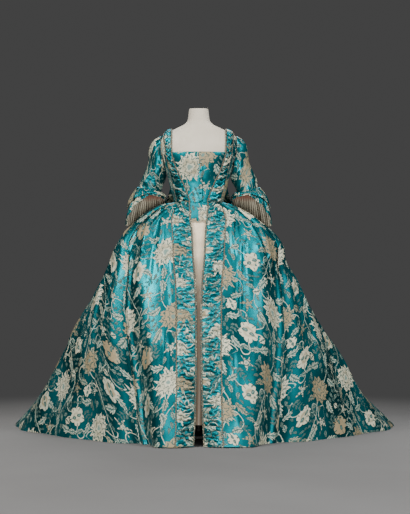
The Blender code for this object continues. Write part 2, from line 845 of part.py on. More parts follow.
def bodice_wall(name, rows, edges, side, behind):
    """A wall on the form. Rows are levels and then turns over the shoulder, with an edge on each side."""
    sign = side["sign"]
    outer, inner = [], []
    for kind, at in rows:
        first, last = edges(kind, at)
        for grid, lift in ((outer, BODICE_LIFT), (inner, FORM_CLEARANCE)):
            row = []
            for u in shares(6):
                value = mix(first, last, u)
                if kind == "level":
                    row.append(round_form(sign, value, at, lift))
                else:
                    row.append(over_shoulder(sign, value, at, lift))
            grid.append(row)
    outer.reverse()
    inner.reverse()
    wall(name, outer, inner, "brocade_silk", (sign < 0) != behind)


def build_bodice(side_name, side):
    """The bodice front and side back of one side, with the armhole between them."""
    armpit = ARMHOLE_MIDDLE_Z - ARMHOLE_DEPTH + 1e-6
    levels = [*BODICE_LEVELS, ARMHOLE_MIDDLE_Z]
    front_turns = [10, 20, 30, 41, 52, 64, 76, 88, SHOULDER_SEAM_TURN - 0.15]
    back_turns = [168, 155, 143, 131, 121, 111, SHOULDER_SEAM_TURN + 0.15]
    seam = math.degrees(HALF_SEAM / 0.12)

    def front_edges(kind, at):
        if kind == "turn":
            return ROBING.at(ARMHOLE_MIDDLE_Z + math.radians(at) * TURN_RADIUS, "inner_x") + 0.002, armhole_x(at)
        half_width = TORSO.at(at, "half_width")
        first = section_degrees(compere_edge(at) + UNDER_GAP, half_width, TORSO_POWER)
        return first, (SIDE_SEAM_DEG - seam if at <= armpit else armhole_degrees(at, False))

    def back_edges(kind, at):
        if kind == "turn":
            return STRAP_BACK_X, armhole_x(at)
        first = SIDE_BACK_DEG
        return first, (SIDE_SEAM_DEG + seam if at <= armpit else armhole_degrees(at, True))

    front_rows = [("level", z) for z in levels] + [("turn", t) for t in front_turns]
    back_rows = [("level", z) for z in levels] + [("turn", t) for t in back_turns]
    bodice_wall(f"bodice_front_{side_name}", front_rows, front_edges, side, False)
    bodice_wall(f"bodice_side_back_{side_name}", back_rows, back_edges, side, True)


def bodice_path(side):
    """Points on the bodice at a rise and at a distance out from the robing's inner edge."""
    sign = side["sign"]
    base = BODICE_LIFT + BODICE_TRIM_LIFT
    cache = {}

    def row(rise):
        key = round(rise, 7)
        if key not in cache:
            inner_x = ROBING.at(min(rise, 1.6), "inner_x")
            points = []
            for k in range(41):
                if rise <= ARMHOLE_MIDDLE_Z:
                    start = section_degrees(inner_x, TORSO.at(rise, "half_width"), TORSO_POWER)
                    value = mix(start, 100, k / 40)
                    points.append((value, round_form(1, value, rise, 0)))
                else:
                    value = mix(inner_x, 0.170, k / 40)
                    points.append((value, over_shoulder(1, value, rise_turn(rise), 0)))
            cache[key] = points
        return cache[key]

    def place(rise, distance, lift):
        run, points = 0.0, row(rise)
        for (before, p), (after, q) in zip(points, points[1:]):
            length = (q - p).length
            if run + length >= distance:
                value = mix(before, after, (distance - run) / length)
                if rise <= ARMHOLE_MIDDLE_Z:
                    return round_form(sign, value, rise, base + lift)
                return over_shoulder(sign, value, rise_turn(rise), base + lift)
            run += length
        return None

    return place


def build_bodice_trimming(side_name, side):
    """The robing of one side of the bodice and its two braids."""
    sign = side["sign"]
    path = bodice_path(side)
    low = WAIST_Z + 0.004
    high = ARMHOLE_MIDDLE_Z + math.radians(ROBING_END_TURN) * TURN_RADIUS
    robing_start = BRAID_WIDTH + TRIM_GAP

    def width(rise):
        return ROBING.at(rise, "width")

    downs = [mix(high, low, k / (2 * BODICE_GATHERS)) for k in range(2 * BODICE_GATHERS + 1)]
    ruched_band(f"bodice_robing_{side_name}", path, downs, lambda rise: robing_start, width, sign, 3)
    rows = downs[::2]
    braid(f"bodice_braid_inner_{side_name}", path, rows, lambda rise: 0.0, sign)
    braid(f"bodice_braid_outer_{side_name}", path, rows, lambda rise: robing_start + width(rise) + TRIM_GAP, sign)


def build_skirt(side_name, side):
    """The front and side skirt panels of one side, and the trimming of the front edge."""
    sign = side["sign"]
    vs = shares(len(SKIRT_ROWS) - 1)
    surface = front_panel(side)
    outer, inner = panel_grids(surface, FRONT_COLUMNS, vs, sign)
    drop_edges(outer, inner)
    wall(f"skirt_front_{side_name}", outer, inner, "brocade_silk", sign < 0)
    strip = GridStrip(outer, sign)
    rows = len(outer)
    robing_start = 0.001 + BRAID_WIDTH + TRIM_GAP
    downs = even_downs(lambda d: strip.point(d, 0.05, 0), 2 * SKIRT_GATHERS, rows)
    downs = [max(d, 0.2) for d in downs[1:]]

    def width(down):
        return mix(WAIST_ROBING_WIDTH, SKIRT_ROBING_WIDTH, smooth(down / 3))

    ruched_band(f"skirt_robing_{side_name}", strip.point, downs, lambda d: robing_start, width, sign, 2)
    braid_rows = sorted({k / 2 for k in range(1, 2 * rows - 1)})
    braid(f"skirt_braid_inner_{side_name}", strip.point, braid_rows, lambda d: 0.001, sign)

    def outer_start(down):
        return robing_start + width(down) + TRIM_GAP * (1 + max(0.0, 1 - down))

    braid(f"skirt_braid_outer_{side_name}", strip.point, braid_rows, outer_start, sign)

    outer, inner = panel_grids(side_panel(side), shares(SIDE_COLUMNS), vs, sign)
    drop_edges(outer, inner)
    wall(f"skirt_side_{side_name}", outer, inner, "brocade_silk", sign < 0)


def drop_edges(outer, inner):
    """Levels the hem, and keeps the top edge just under the bodice."""
    for row_out, row_in in zip(outer, inner):
        for p, q in zip(row_out, row_in):
            q.z = min(q.z, WAIST_Z - SEAM_GAP)
            p.z = min(p.z, WAIST_Z - SEAM_GAP)
            if row_out is outer[-1]:
                q.z = p.z


def build_sack(side_name, side):
    """Half the sack back and its part of the train."""
    sign = side["sign"]
    surface = sack_panel(side)
    outer, inner = panel_grids(surface, shares(SACK_COLUMNS), shares(len(SACK_ROWS) - 1), sign)
    for p, q in zip(outer[-1], inner[-1]):
        q.z = p.z
    for row_out, row_in in zip(outer, inner):
        row_in[-1].x = row_out[-1].x = sign * HALF_SEAM
    wall(f"sack_back_{side_name}", outer, inner, "brocade_silk", sign < 0)


def sleeve_ring(step, columns, grown, up=0.0):
    """A ring round the sleeve at a step of its table, on the wearer's left, kept off the bodice."""
    lean = math.radians(SLEEVE.at(step, "lean_deg"))
    centre = Vector((SLEEVE.at(step, "x"), SLEEVE.at(step, "y"), SLEEVE.at(step, "z")))
    centre += Vector((-math.sin(lean), 0, math.cos(lean))) * up
    radius = SLEEVE.at(step, "radius") + grown
    outward = Vector((math.cos(lean), 0, math.sin(lean)))
    ring = []
    for c in range(columns):
        angle = math.radians(360 * c / columns)
        p = centre + Vector((0, -1, 0)) * (radius * math.cos(angle)) + outward * (radius * math.sin(angle))
        ring.append(kept_off(p, BODICE_LIFT + CLOTH + 0.0015 + grown))
    return ring


def kept_off(p, clearance):
    """Moves a point level, away from the form, until it is that far off it."""
    step = Vector((0.0004, 0, 0))
    for _ in range(400):
        probe = Vector((p.x - clearance, p.y, p.z))
        if probe.x > 0 and torso_value(probe) >= 0:
            break
        p = p + step
    return p


def armhole_ring(columns, grown, lift):
    """Points round the armhole, spread out from its edge by grown."""
    ring = []
    for c in range(columns):
        angle = 360 * c / columns
        if angle <= 180:
            ring.append(over_shoulder(1, armhole_x(angle, grown), angle, lift))
        else:
            z = ARMHOLE_MIDDLE_Z + (ARMHOLE_DEPTH + grown) * math.sin(math.radians(angle))
            ring.append(round_form(1, armhole_degrees(z, angle < 270, grown), z, lift))
    return ring


def build_sleeve(side_name, side):
    """The sleeve, from its seat on the armhole to the cuff."""
    sign = side["sign"]
    seat = BODICE_LIFT + SLEEVE_SEAT
    armhole = armhole_ring(SLEEVE_COLUMNS, 0.0040, seat)
    rings = [sleeve_ring(step, SLEEVE_COLUMNS, 0) for step in (2, 3, 4, 5)]
    head = []
    for c, (p, q) in enumerate(zip(armhole, rings[0])):
        puff = SLEEVE_HEAD_PUFF * max(0.0, math.sin(2 * math.pi * c / SLEEVE_COLUMNS))
        head.append(p.lerp(q, 0.5) + Vector((0.6, 0, 0.8)) * puff)
    outer = [armhole, head, *rings]
    inner = tube_inside(outer)
    grids = [[[Vector((sign * p.x, p.y, p.z)) for p in row] for row in grid] for grid in (outer, inner)]
    wall(f"sleeve_{side_name}", *grids, "brocade_silk", sign < 0, closed=True)


def skirt_top_z(side, x, y):
    """Height of the skirt's surface above or below a point in plan."""
    low, high = 0.60, WAIST_Z
    for _ in range(24):
        z = (low + high) / 2
        middle = SKIRT.at(z, "middle")
        depth = SKIRT.at(z, "back") - middle if y > middle else SKIRT.at(z, "front") + middle
        power = SKIRT.at(z, "power")
        if (abs(x) / SKIRT.at(z, "half_width")) ** power + (abs(y - middle) / depth) ** power < 1:
            low = z
        else:
            high = z
    return low


def build_ruffle(name, side, table, waves, grown, up, hem_wave, rows):
    """A gathered ruffle round the cuff, kept above the skirt."""
    sign = side["sign"]
    columns = 4 * waves
    top = sleeve_ring(5, columns, grown, up)
    centre = sum(top, Vector()) / columns
    outer, inner = [], []
    for r in range(rows + 1):
        t = r / rows
        row_out, row_in = [], []
        for c, start in enumerate(top):
            degrees = 360 * c / columns
            out = Vector((start.x - centre.x, start.y - centre.y, 0)).normalized()
            wave = 0.5 - 0.5 * math.cos(2 * math.pi * c / 4)
            drop, flare = table.at(degrees, "drop"), table.at(degrees, "flare")
            hem = start + out * (flare + hem_wave * wave)
            hem.z = max(start.z - drop, skirt_top_z(side, hem.x, hem.y) + RUFFLE_CLEARANCE)
            p = start + out * (RUFFLE_TOP_WAVE * wave)
            p = p.lerp(hem, t)
            p += out * (flare * 0.9 * (math.sin(math.pi * t / 2) - t))
            row_out.append(Vector((sign * p.x, p.y, p.z)))
            q = p - out * CLOTH
            row_in.append(Vector((sign * q.x, q.y, q.z)))
        outer.append(row_out)
        inner.append(row_in)
    wall(name, outer, inner, "ruffle_silk", sign < 0, closed=True)


for thing in list(bpy.data.objects):
    bpy.data.objects.remove(thing, do_unlink=True)
PARTS = bpy.data.collections.new("robe_a_la_francaise")
bpy.context.scene.collection.children.link(PARTS)
MATERIALS = {}
for colour_name, colour in COLOURS.items():
    made = bpy.data.materials.new(colour_name)
    made.use_nodes = True
    shader = made.node_tree.nodes["Principled BSDF"]
    shader.inputs["Base Color"].default_value = (*colour, 1)
    shader.inputs["Metallic"].default_value = 0.9 if colour_name in METALS else 0.0
    shader.inputs["Roughness"].default_value = 0.35 if colour_name in METALS else 0.6
    MATERIALS[colour_name] = made

build_form()
build_stand()
build_petticoat()
build_buttons()
for side_name, side in SIDES.items():
    build_compere(side_name, side)
    build_bodice(side_name, side)
    build_bodice_trimming(side_name, side)
    build_sleeve(side_name, side)
    build_ruffle(
        f"sleeve_ruffle_lower_{side_name}",
        side,
        LOWER_RUFFLE,
        LOWER_WAVES,
        RUFFLE_SEAT,
        LOWER_RUFFLE_UP,
        LOWER_HEM_WAVE,
        3,
    )
    build_ruffle(
        f"sleeve_ruffle_upper_{side_name}",
        side,
        UPPER_RUFFLE,
        UPPER_WAVES,
        RUFFLE_SEAT + RUFFLE_STEP,
        UPPER_RUFFLE_UP,
        UPPER_HEM_WAVE,
        2,
    )
    build_skirt(side_name, side)
    build_sack(side_name, side)
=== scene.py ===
"""Robe a la francaise: its cloth, trimming, dress form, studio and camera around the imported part.

Metres, +Z up, in the part's own frame: the gown faces -Y and the wearer's left is +X. Each cloth piece is a
grid of points, in rows from its top to its hem and columns from its anchor edge, on the same surface as the
CAD piece that it stands for. Creases and gathers move the points in or out, and lengths measured along the
cloth place the brocade on it.
"""

import functools
import math

import bpy
import numpy as np
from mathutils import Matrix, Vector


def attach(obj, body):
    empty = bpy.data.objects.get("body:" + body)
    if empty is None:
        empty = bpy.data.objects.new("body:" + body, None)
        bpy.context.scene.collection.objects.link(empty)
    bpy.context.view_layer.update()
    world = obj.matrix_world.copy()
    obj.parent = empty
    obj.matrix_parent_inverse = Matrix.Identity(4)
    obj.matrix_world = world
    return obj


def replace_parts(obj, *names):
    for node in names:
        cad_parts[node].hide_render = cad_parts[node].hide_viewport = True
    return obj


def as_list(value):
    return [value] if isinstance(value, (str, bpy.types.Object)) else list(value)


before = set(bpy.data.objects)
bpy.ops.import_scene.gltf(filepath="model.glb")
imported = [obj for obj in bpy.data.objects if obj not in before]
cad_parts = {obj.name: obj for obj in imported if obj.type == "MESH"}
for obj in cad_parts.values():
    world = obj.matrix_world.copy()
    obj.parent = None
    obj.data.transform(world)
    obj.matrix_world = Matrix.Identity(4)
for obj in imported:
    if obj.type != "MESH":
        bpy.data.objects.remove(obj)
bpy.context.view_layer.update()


# Cloth and seams
CLOTH = 0.0020
SLEEVE_CLOTH = 0.0016
RUFFLE_CLOTH = 0.0013
SEAM_GAP = 0.0003
HALF_SEAM = SEAM_GAP / 2
UNDER_GAP = 0.0010
FORM_CLEARANCE = 0.0025
BODICE_LIFT = FORM_CLEARANCE + CLOTH
TRIM_LIFT = 0.0007
BODICE_TRIM_LIFT = 0.0009
WAIST_TRIM_LIFT = 0.0020

# Heights
WAIST_Z = 1.0625
NECKLINE_Z = 1.285
COMPERE_HEM_Z = 0.983
COMPERE_POINT = 0.010
COMPERE_POINT_HALF_WIDTH = 0.034
COMPERE_POINT_FADE = 0.012
COMPERE_ROW_STEP = 0.0042
COMPERE_COLUMNS = 34
FRONT_HEM_LIFT = 0.004
SHAPE_FLOOR_Z = 0.004
HEM_LIFT_TOP_Z = 0.30

# Bodice
SIDE_SEAM_DEG = 92.0
ARMHOLE_MIDDLE_Z = 1.285
ARMHOLE_DEPTH = 0.063
ARMHOLE_HALF_DEG = 22.0
ARMHOLE_TOP_X = 0.171
SHOULDER_SEAM_TURN = 100.0
STRAP_BACK_X = 0.078
SIDE_BACK_DEG = 148.0
SIDE_BACK_END_TURN = 168.0
SHOULDER_SEAM_GAP_DEG = 0.15
BODICE_FOOT_Z = 1.0635
BODICE_ROW_STEP = 0.0045
BODICE_TURN_STEP_DEG = 2.6
BODICE_COLUMNS = 30
BODICE_TRIM_COLUMNS = 60
WAIST_RADIUS = 0.12
ARMHOLE_RADIUS = 0.15
BODICE_WRINKLE = 0.0006
BODICE_WRINKLE_WIDTH = 0.03
BODICE_WRINKLE_LENGTH = 0.018
BODICE_WRINKLE_FADE = 0.01
BODICE_TUCK_SHARE = 0.5
# How far round, and over the shoulder how far out, the surface reaches that the bodice's trimming lies on
BODICE_TRIM_REACH_DEG = 100.0
BODICE_TRIM_REACH_X = 0.170
COMPERE_UNDERLAP = 0.010
# Heights over which the false front's edge moves under the robing, and its surface off the skirt's
COMPERE_EDGE_BLEND = 0.012
COMPERE_BLEND = 0.040
LAP_HEIGHT = 0.0011
LAP_WIDTH = 0.019
LAP_SLOPE = 0.003
EDGE_STITCH = 0.0007
EDGE_STITCH_IN = 0.0035
EDGE_STITCH_WIDTH = 0.0012
NECK_TURN = 0.0006
NECK_TURN_WIDTH = 0.004
COMPERE_WRINKLE = 0.0007
COMPERE_WRINKLE_TOP_Z = 1.280
COMPERE_WRINKLE_FADE = 0.2
COMPERE_WRINKLE_WIDTH = 0.026
COMPERE_WRINKLE_LENGTH = 0.016
BUTTONS = 9
BUTTON_RADIUS = 0.0055
BUTTON_HEIGHT = 0.0034
BUTTON_FOOT = 0.0004
BUTTON_PLACE = (0.11, 0.09)
BUTTON_PLACE_STEP = (0.037, 0.051)
# From the crown to the underside, in shares of the button's radius and height
BUTTON_PROFILE = ((0.05, 1.0), (0.35, 0.94), (0.65, 0.76), (0.88, 0.48), (1.0, 0.20), (0.93, 0.0))
BUTTON_COLUMNS = 20
BUTTON_X = 0.0085
# Points beside and above a button, from which the cloth's slope under it is found
BUTTON_BESIDE_X = BUTTON_X * 1.5
BUTTON_ABOVE = 0.004
BUTTON_TOP_Z = NECKLINE_Z - 0.014
BUTTON_BOTTOM_Z = 1.000

# Trimming
BRAID_WIDTH = 0.0065
BRAID_HEIGHT = 0.0026
BRAID_SWAY = 0.0015
BRAID_SWAY_PITCH = 0.015
BRAID_JITTER = 0.0012
BRAID_JITTER_WAVE = 0.01
BRAID_NARROWEST = 0.50
BRAID_SEAT_SHARE = 0.4
BRAID_EXTRA_HEIGHT = 0.0006
BRAID_LOWEST = 0.55
KNOT_PITCH = 0.0105
KNOT_HEIGHT_SHARE = 0.5
KNOT_WANDER = 0.8
KNOT_WANDER_WAVE = 0.03
TRIM_GAP = 0.0009
SKIRT_ROBING_WIDTH = 0.078
WAIST_ROBING_WIDTH = 0.056
GATHER_PITCH = 0.0205
PUFF_EDGE = 0.0022
PUFF_TOP = 0.0112
PUFF_VALLEY = 0.0014
ROBING_END_TURN = 118.0
GATHER_FULLNESS = 2.0
GATHER_SHOWN = 1.3
ROBING_COLUMNS = 24
# The column along which a robing's length is measured
ROBING_LENGTH_COLUMN = 10
# The cut strip's area as a share of its gathered faces' area
ROBING_AREA_SHARE = 1.2
BRAID_COLUMNS = 7
FRONT_TRIM_SHARE = 0.40
# Layers of noise on the gathers: strength, waves over the width, length of a wave and seed
GATHER_SPLIT = ((0.32, 0, 0.05, 5),)
GATHER_WANDER = ((0.30, 1.6, 0.045, 0), (0.20, 4.5, 0.017, 1))
GATHER_CREASES = ((0.0006, 4.0, 0.0052, 3), (0.00036, 7.0, 0.0033, 4))
GATHER_SPLIT_FADE = 0.12
PUFF_SIZE = 0.72
PUFF_SIZE_CHANGE = 0.42
PUFF_ROUNDNESS = 0.75
PUFF_CROWN = 0.45
# How far from the middle a robing's puckered edge starts and over what it comes in, in shares of the width
ROBING_EDGE_START = 0.30
ROBING_EDGE_FADE = 0.2
EDGE_STITCH_PITCH = 0.0068
EDGE_PUCKER = 0.0008

# Sleeves and ruffles
SLEEVE_HEAD_PUFF = 0.026
SLEEVE_SEAT = 0.0050
SLEEVE_CLEARANCE = 0.0015
PUSHES = 400
PUSH = 0.0004
SLEEVE_ROWS = 76
SLEEVE_COLUMNS = 120
ARMHOLE_GROWN = 0.0040
HEAD_PLEATS = 17
HEAD_PLEAT_HEIGHT = 0.0022
# Places and fades down the sleeve, and on the ruffles, are shares of the length
HEAD_PLEAT_END = 0.30
HEAD_PLEAT_FADE = 0.28
HEAD_PLEAT_WANDER = 0.8
HEAD_PLEAT_WANDER_DEG = 30
HEAD_PLEAT_WANDERS_DOWN = 5
HEAD_PUFF_WAY = np.array((0.6, 0, 0.8))
SLEEVE_END_FADE = 0.04
SLEEVE_CREASE_START = 0.15
ELBOW_CREASE = 0.0030
ELBOW_TURN_DEG = 30
ELBOW_START = 0.55
ELBOW_FADE = 0.2
ELBOW_FOLDS = 26
ELBOW_SLANT = 3
# Creases of the sleeve: height, waves round it and down it, their slants, and seed
SLEEVE_CREASES = ((0.0042, 4.0, 4.5, 2, 1.5, 112), (0.0016, 9.0, 12, -3, 1, 114))
RUFFLE_TOP_WAVE = 0.0012
RUFFLE_SEAT = 0.0032
RUFFLE_STEP = 0.0027
RUFFLE_CLEARANCE = 0.010
RUFFLE_REACH_Z = 0.60
RUFFLE_ROWS = 20
RUFFLE_COLUMNS = 300
RUFFLE_HALVINGS = 24
RUFFLE_BELLY = 0.9
PLEATLET_HEIGHT = 0.0011
PLEATLETS_A_WAVE = 5
PLEATLET_WANDER = 1.2
PLEATLET_WANDER_DEG = 25
PLEATLET_START = 0.15
RUFFLE_DRAG = 0.0030
RUFFLE_DRAG_DEG = 16
RUFFLE_DRAGS_DOWN = 1.5
PINK_DEPTH = 0.0035
PINKS_A_WAVE = 5
PINK_FULL_DROP = 0.05
SEAM_ANGLE = 270.0

LEFT = {"name": "left", "sign": 1, "tip_spread": 0.034, "corner": "corner_left_deg"}
RIGHT = {"name": "right", "sign": -1, "tip_spread": -0.032, "corner": "corner_right_deg"}
SPREAD_START_Z = 0.60


def mix(a, b, t):
    return a + (b - a) * t


def smooth(t):
    t = np.clip(t, 0.0, 1.0)
    return t * t * (3 - 2 * t)


def sin_deg(degrees):
    return np.sin(np.radians(degrees))


def cos_deg(degrees):
    return np.cos(np.radians(degrees))


def points(x, y, z):
    return np.stack(np.broadcast_arrays(x, y, z), axis=-1).astype(float)


def unit(vectors):
    return vectors / np.maximum(np.linalg.norm(vectors, axis=-1, keepdims=True), 1e-12)


def run_lengths(rows, axis=0):
    """Lengths along rows of points, from 0 at the first one."""
    steps = np.linalg.norm(np.diff(rows, axis=axis), axis=-1)
    return np.concatenate([np.zeros_like(steps.take([0], axis)), np.cumsum(steps, axis)], axis)


def named(columns, *rows):
    """A table's rows as dictionaries."""
    return [dict(zip(columns.split(), row)) for row in rows]


class Table:
    """Rows with named columns, read at any value of the first one along smooth curves with no overshoot."""

    def __init__(self, columns, *rows):
        self.columns = columns.split()
        self.rows = np.array(sorted(rows), float)
        self.keys = self.rows[:, 0]
        chords = np.diff(self.rows, axis=0)
        chords = chords / chords[:, :1]
        before, after = chords[:-1], chords[1:]
        both = before * after
        inside = np.where(both > 0, 2 * both / np.where(both > 0, before + after, 1), 0)
        self.slopes = np.concatenate([chords[:1], inside, chords[-1:]])

    def at(self, key, column):
        c = self.columns.index(column)
        key = np.clip(key, self.keys[0], self.keys[-1])
        i = np.clip(np.searchsorted(self.keys, key, side="right") - 1, 0, len(self.keys) - 2)
        span = self.keys[i + 1] - self.keys[i]
        t = (key - self.keys[i]) / span
        return (
            self.rows[i, c] * (1 + 2 * t) * (1 - t) ** 2
            + self.slopes[i, c] * span * t * (1 - t) ** 2
            + self.rows[i + 1, c] * t * t * (3 - 2 * t)
            - self.slopes[i + 1, c] * span * t * t * (1 - t)
        )

    def form(self, z):
        return [self.at(z, c) for c in ("half_width", "middle", "front", "back", "power")]

    def section(self, degrees, z):
        return section(degrees, *self.form(z))


TORSO = Table(
    "z half_width front back",
    (0.88, 0.142, 0.09, 0.108),
    (0.96, 0.128, 0.088, 0.104),
    (1.02, 0.114, 0.088, 0.094),
    (1.0625, 0.11, 0.092, 0.088),
    (1.12, 0.122, 0.102, 0.092),
    (1.2, 0.143, 0.122, 0.102),
    (1.25, 0.16, 0.13, 0.108),
    (1.3, 0.178, 0.12, 0.11),
    (1.34, 0.177, 0.1, 0.107),
    (1.366, 0.158, 0.083, 0.101),
    (1.386, 0.126, 0.069, 0.091),
    (1.402, 0.094, 0.059, 0.077),
    (1.416, 0.066, 0.052, 0.063),
    (1.436, 0.05, 0.047, 0.051),
    (1.487, 0.043, 0.044, 0.046),
)
TORSO_POWER = 2.3

SKIRT = Table(
    "z half_width middle front back power corner_left_deg corner_right_deg seam_deg",
    (1.0625, 0.1132, 0, 0.0952, 0.0912, 2.3, 64, 60, 150),
    (1.04, 0.172, 0, 0.108, 0.115, 2.3, 66, 60, 149),
    (1.008, 0.233, 0, 0.126, 0.145, 2.3, 68, 59, 147),
    (0.97, 0.285, 0.002, 0.147, 0.18, 2.3, 69, 59, 145),
    (0.925, 0.34, 0.006, 0.169, 0.22, 2.3, 69, 58, 141),
    (0.855, 0.386, 0.015, 0.198, 0.285, 2.25, 65, 54, 135),
    (0.78, 0.406, 0.03, 0.225, 0.34, 2.2, 60, 50, 129),
    (0.6, 0.5, 0.105, 0.282, 0.465, 2, 49, 41, 117),
    (0.4, 0.612, 0.21, 0.335, 0.62, 1.8, 40, 33, 107),
    (0.2, 0.738, 0.33, 0.38, 0.78, 1.65, 33, 27, 98),
    (0.08, 0.835, 0.41, 0.402, 0.89, 1.55, 30, 25, 94),
    (0.004, 0.912, 0.46, 0.412, 0.97, 1.5, 28, 23, 91),
)

OPENING = Table(
    "z half_width",
    (0, 0.0165),
    (0.1, 0.013),
    (0.2, 0.011),
    (0.4, 0.0085),
    (0.55, 0.0085),
    (0.69, 0.0115),
    (0.8, 0.021),
    (0.936, 0.0275),
    (0.983, 0.034),
    (1.0625, 0.0375),
)

PETTICOAT = Table(
    "z half_width middle front back power",
    (0.09, 0.49, 0.1, 0.384, 0.45, 1.6),
    (0.25, 0.47, 0.075, 0.35, 0.42, 1.65),
    (0.45, 0.445, 0.045, 0.307, 0.38, 1.8),
    (0.65, 0.412, 0.02, 0.25, 0.33, 2),
    (0.82, 0.368, 0.004, 0.195, 0.255, 2.2),
    (0.915, 0.313, 0.003, 0.157, 0.2, 2.3),
    (0.96, 0.279, 0.002, 0.137, 0.165, 2.3),
    (1, 0.222, 0, 0.117, 0.132, 2.3),
    (1.03, 0.15, 0, 0.1015, 0.105, 2.3),
    (1.042, 0.1133, 0, 0.0938, 0.094, 2.3),
)
PETTICOAT_TOP_Z = 1.0420
PETTICOAT_GATHERS = 36
PETTICOAT_COLUMNS = 216
PETTICOAT_ROW_STEP = 0.008
PETTICOAT_SEAM_DEG = 45
PETTICOAT_TUCK_DEG = 0.9
PETTICOAT_FOLD_LOW = 0.0080
PETTICOAT_FOLD_HIGH = 0.0030
PETTICOAT_FOLD_FOOT_Z = 0.3
PETTICOAT_FOLD_RISE = 0.6
PETTICOAT_TOP_FADE = 0.03
PETTICOAT_WANDER = 1.5
PETTICOAT_WANDER_DEG = 20
PETTICOAT_WANDER_LENGTH = 0.4
PETTICOAT_SEAM_TUCK = 0.0015
PETTICOAT_HEM_Z = 0.0900

SACK = Table(
    "z edge_x edge_y centre_y",
    (1.404, 0.098, 0.08, 0.09),
    (1.38, 0.102, 0.112, 0.126),
    (1.3, 0.11, 0.14, 0.158),
    (1.18, 0.122, 0.158, 0.186),
    (1.0625, 0.152, 0.174, 0.22),
    (0.97, 0.232, 0.204, 0.265),
    (0.855, 0.292, 0.232, 0.318),
    (0.78, 0.33, 0.25, 0.355),
    (0.6, 0.48, 0.28, 0.465),
    (0.4, 0.59, 0.34, 0.62),
    (0.2, 0.73, 0.4, 0.78),
    (0.08, 0.83, 0.44, 0.89),
    (0.004, 0.91, 0.47, 0.97),
)
SACK_TOP_Z = 1.404
SACK_NECK_DIP = 0.036
SACK_FREE_Z = 0.960
SACK_JOINED_Z = 0.800
SACK_ROUND_Z = 1.10
SACK_ROUND_FADE = 0.3
SACK_DIP_Z = 1.28
SACK_CLOSE_Z = 1.33
SACK_NECK_GAP = 0.012

# Folds run down a panel. Places and widths are shares of the panel's width.
FOLDS = named(
    "panel top hem top_width hem_width top_height hem_height start_z lean",
    ("front", 0.66, 0.56, 0.55, 0.6, 0.006, 0.104, 0.98, 0.42),
    ("front", 0.95, 0.94, 0.05, 0.06, 0.003, 0.01, 0.9, 0),
    ("side", 0.11, 0.11, 0.15, 0.13, 0.006, 0.03, 0.98, -0.3),
    ("side", 0.36, 0.36, 0.18, 0.16, 0.002, 0.02, 0.85, 0.2),
    ("side", 0.64, 0.66, 0.18, 0.16, 0.002, 0.026, 0.8, 0),
    ("sack", 0.3, 0.24, 0.3, 0.17, 0.01, 0.034, 1.44, 0),
    ("sack", 0.8, 0.58, 0.2, 0.17, 0.008, 0.036, 1.44, 0.1),
)
WAIST_PLEATS = {"front": (0.66, 0.84), "side": (0.12, 0.30, 0.48, 0.66, 0.84)}
PLEAT_HALF_SHARE = 0.085
PLEAT_HEIGHT = 0.0060
PLEAT_FOOT_Z = 0.840
PLEAT_FULL_Z = 1.020
PLEAT_TOP_FADE = 0.01
FOLD_GROWTH = 8

SLEEVE = Table(
    "step x y z lean_deg radius",
    (2, 0.187, 0.008, 1.22, 30, 0.05),
    (3, 0.1965, 0.012, 1.19, 14, 0.053),
    (4, 0.213, 0.016, 1.15, 12, 0.0535),
    (5, 0.225, 0.02, 1.11, 12, 0.052),
)

LOWER_RUFFLE = Table(
    "deg drop flare",
    (0, 0.024, 0.012),
    (45, 0.08, 0.034),
    (90, 0.168, 0.05),
    (135, 0.18, 0.048),
    (180, 0.13, 0.034),
    (225, 0.085, 0.022),
    (270, 0.048, 0.014),
    (315, 0.026, 0.012),
    (360, 0.024, 0.012),
)
UPPER_RUFFLE = Table(
    "deg drop flare",
    (0, 0.018, 0.014),
    (45, 0.048, 0.03),
    (90, 0.09, 0.042),
    (135, 0.098, 0.044),
    (180, 0.072, 0.034),
    (225, 0.048, 0.022),
    (270, 0.028, 0.016),
    (315, 0.02, 0.015),
    (360, 0.018, 0.014),
)

ROBING = Table(
    "rise inner_x width",
    (1.0625, 0.0335, 0.064),
    (1.12, 0.053, 0.058),
    (1.17, 0.075, 0.051),
    (1.21, 0.093, 0.04),
    (1.25, 0.107, 0.031),
    (1.285, 0.1155, 0.027),
    (1.38, 0.1175, 0.032),
    (1.46, 0.117, 0.032),
    (1.6, 0.109, 0.031),
)
TURN_RADIUS = 0.095
SHOULDER_REACH = 0.20
HALVINGS = 32


# Surfaces


def section(degrees, half_width, middle, front, back, power):
    """Points of a section at angles from its front: 0 is -Y, 90 is +X and 180 is +Y."""
    sine, cosine = sin_deg(degrees), cos_deg(degrees)
    x = half_width * np.sign(sine) * np.abs(sine) ** (2 / power)
    depth = np.where(cosine > 0, front + middle, back - middle)
    return x, middle - depth * np.sign(cosine) * np.abs(cosine) ** (2 / power)


def section_degrees(x, half_width, power):
    return np.degrees(np.arcsin(np.minimum(x / half_width, 1.0) ** (power / 2)))


def form_section(degrees, z):
    half_width, front, back = (TORSO.at(z, c) for c in ("half_width", "front", "back"))
    return section(degrees, half_width, 0, front, back, TORSO_POWER)


def round_angles(start, count):
    return start + 360 * np.arange(count) / count


def torso_value(p):
    """Below zero inside the form and above it outside."""
    z = p[..., 2]
    depth = np.where(p[..., 1] < 0, TORSO.at(z, "front"), TORSO.at(z, "back"))
    wide = np.abs(p[..., 0]) / TORSO.at(z, "half_width")
    return wide**TORSO_POWER + (np.abs(p[..., 1]) / depth) ** TORSO_POWER - 1


def off_form(sign, p, lift):
    """Points of the form moved out along its normal, on the wearer's left for sign 1."""
    step = 1e-4
    slope = [torso_value(p + step * axis) - torso_value(p - step * axis) for axis in np.eye(3)]
    p = p + unit(np.stack(slope, axis=-1)) * np.asarray(lift)[..., None]
    return p * (sign, 1, 1)


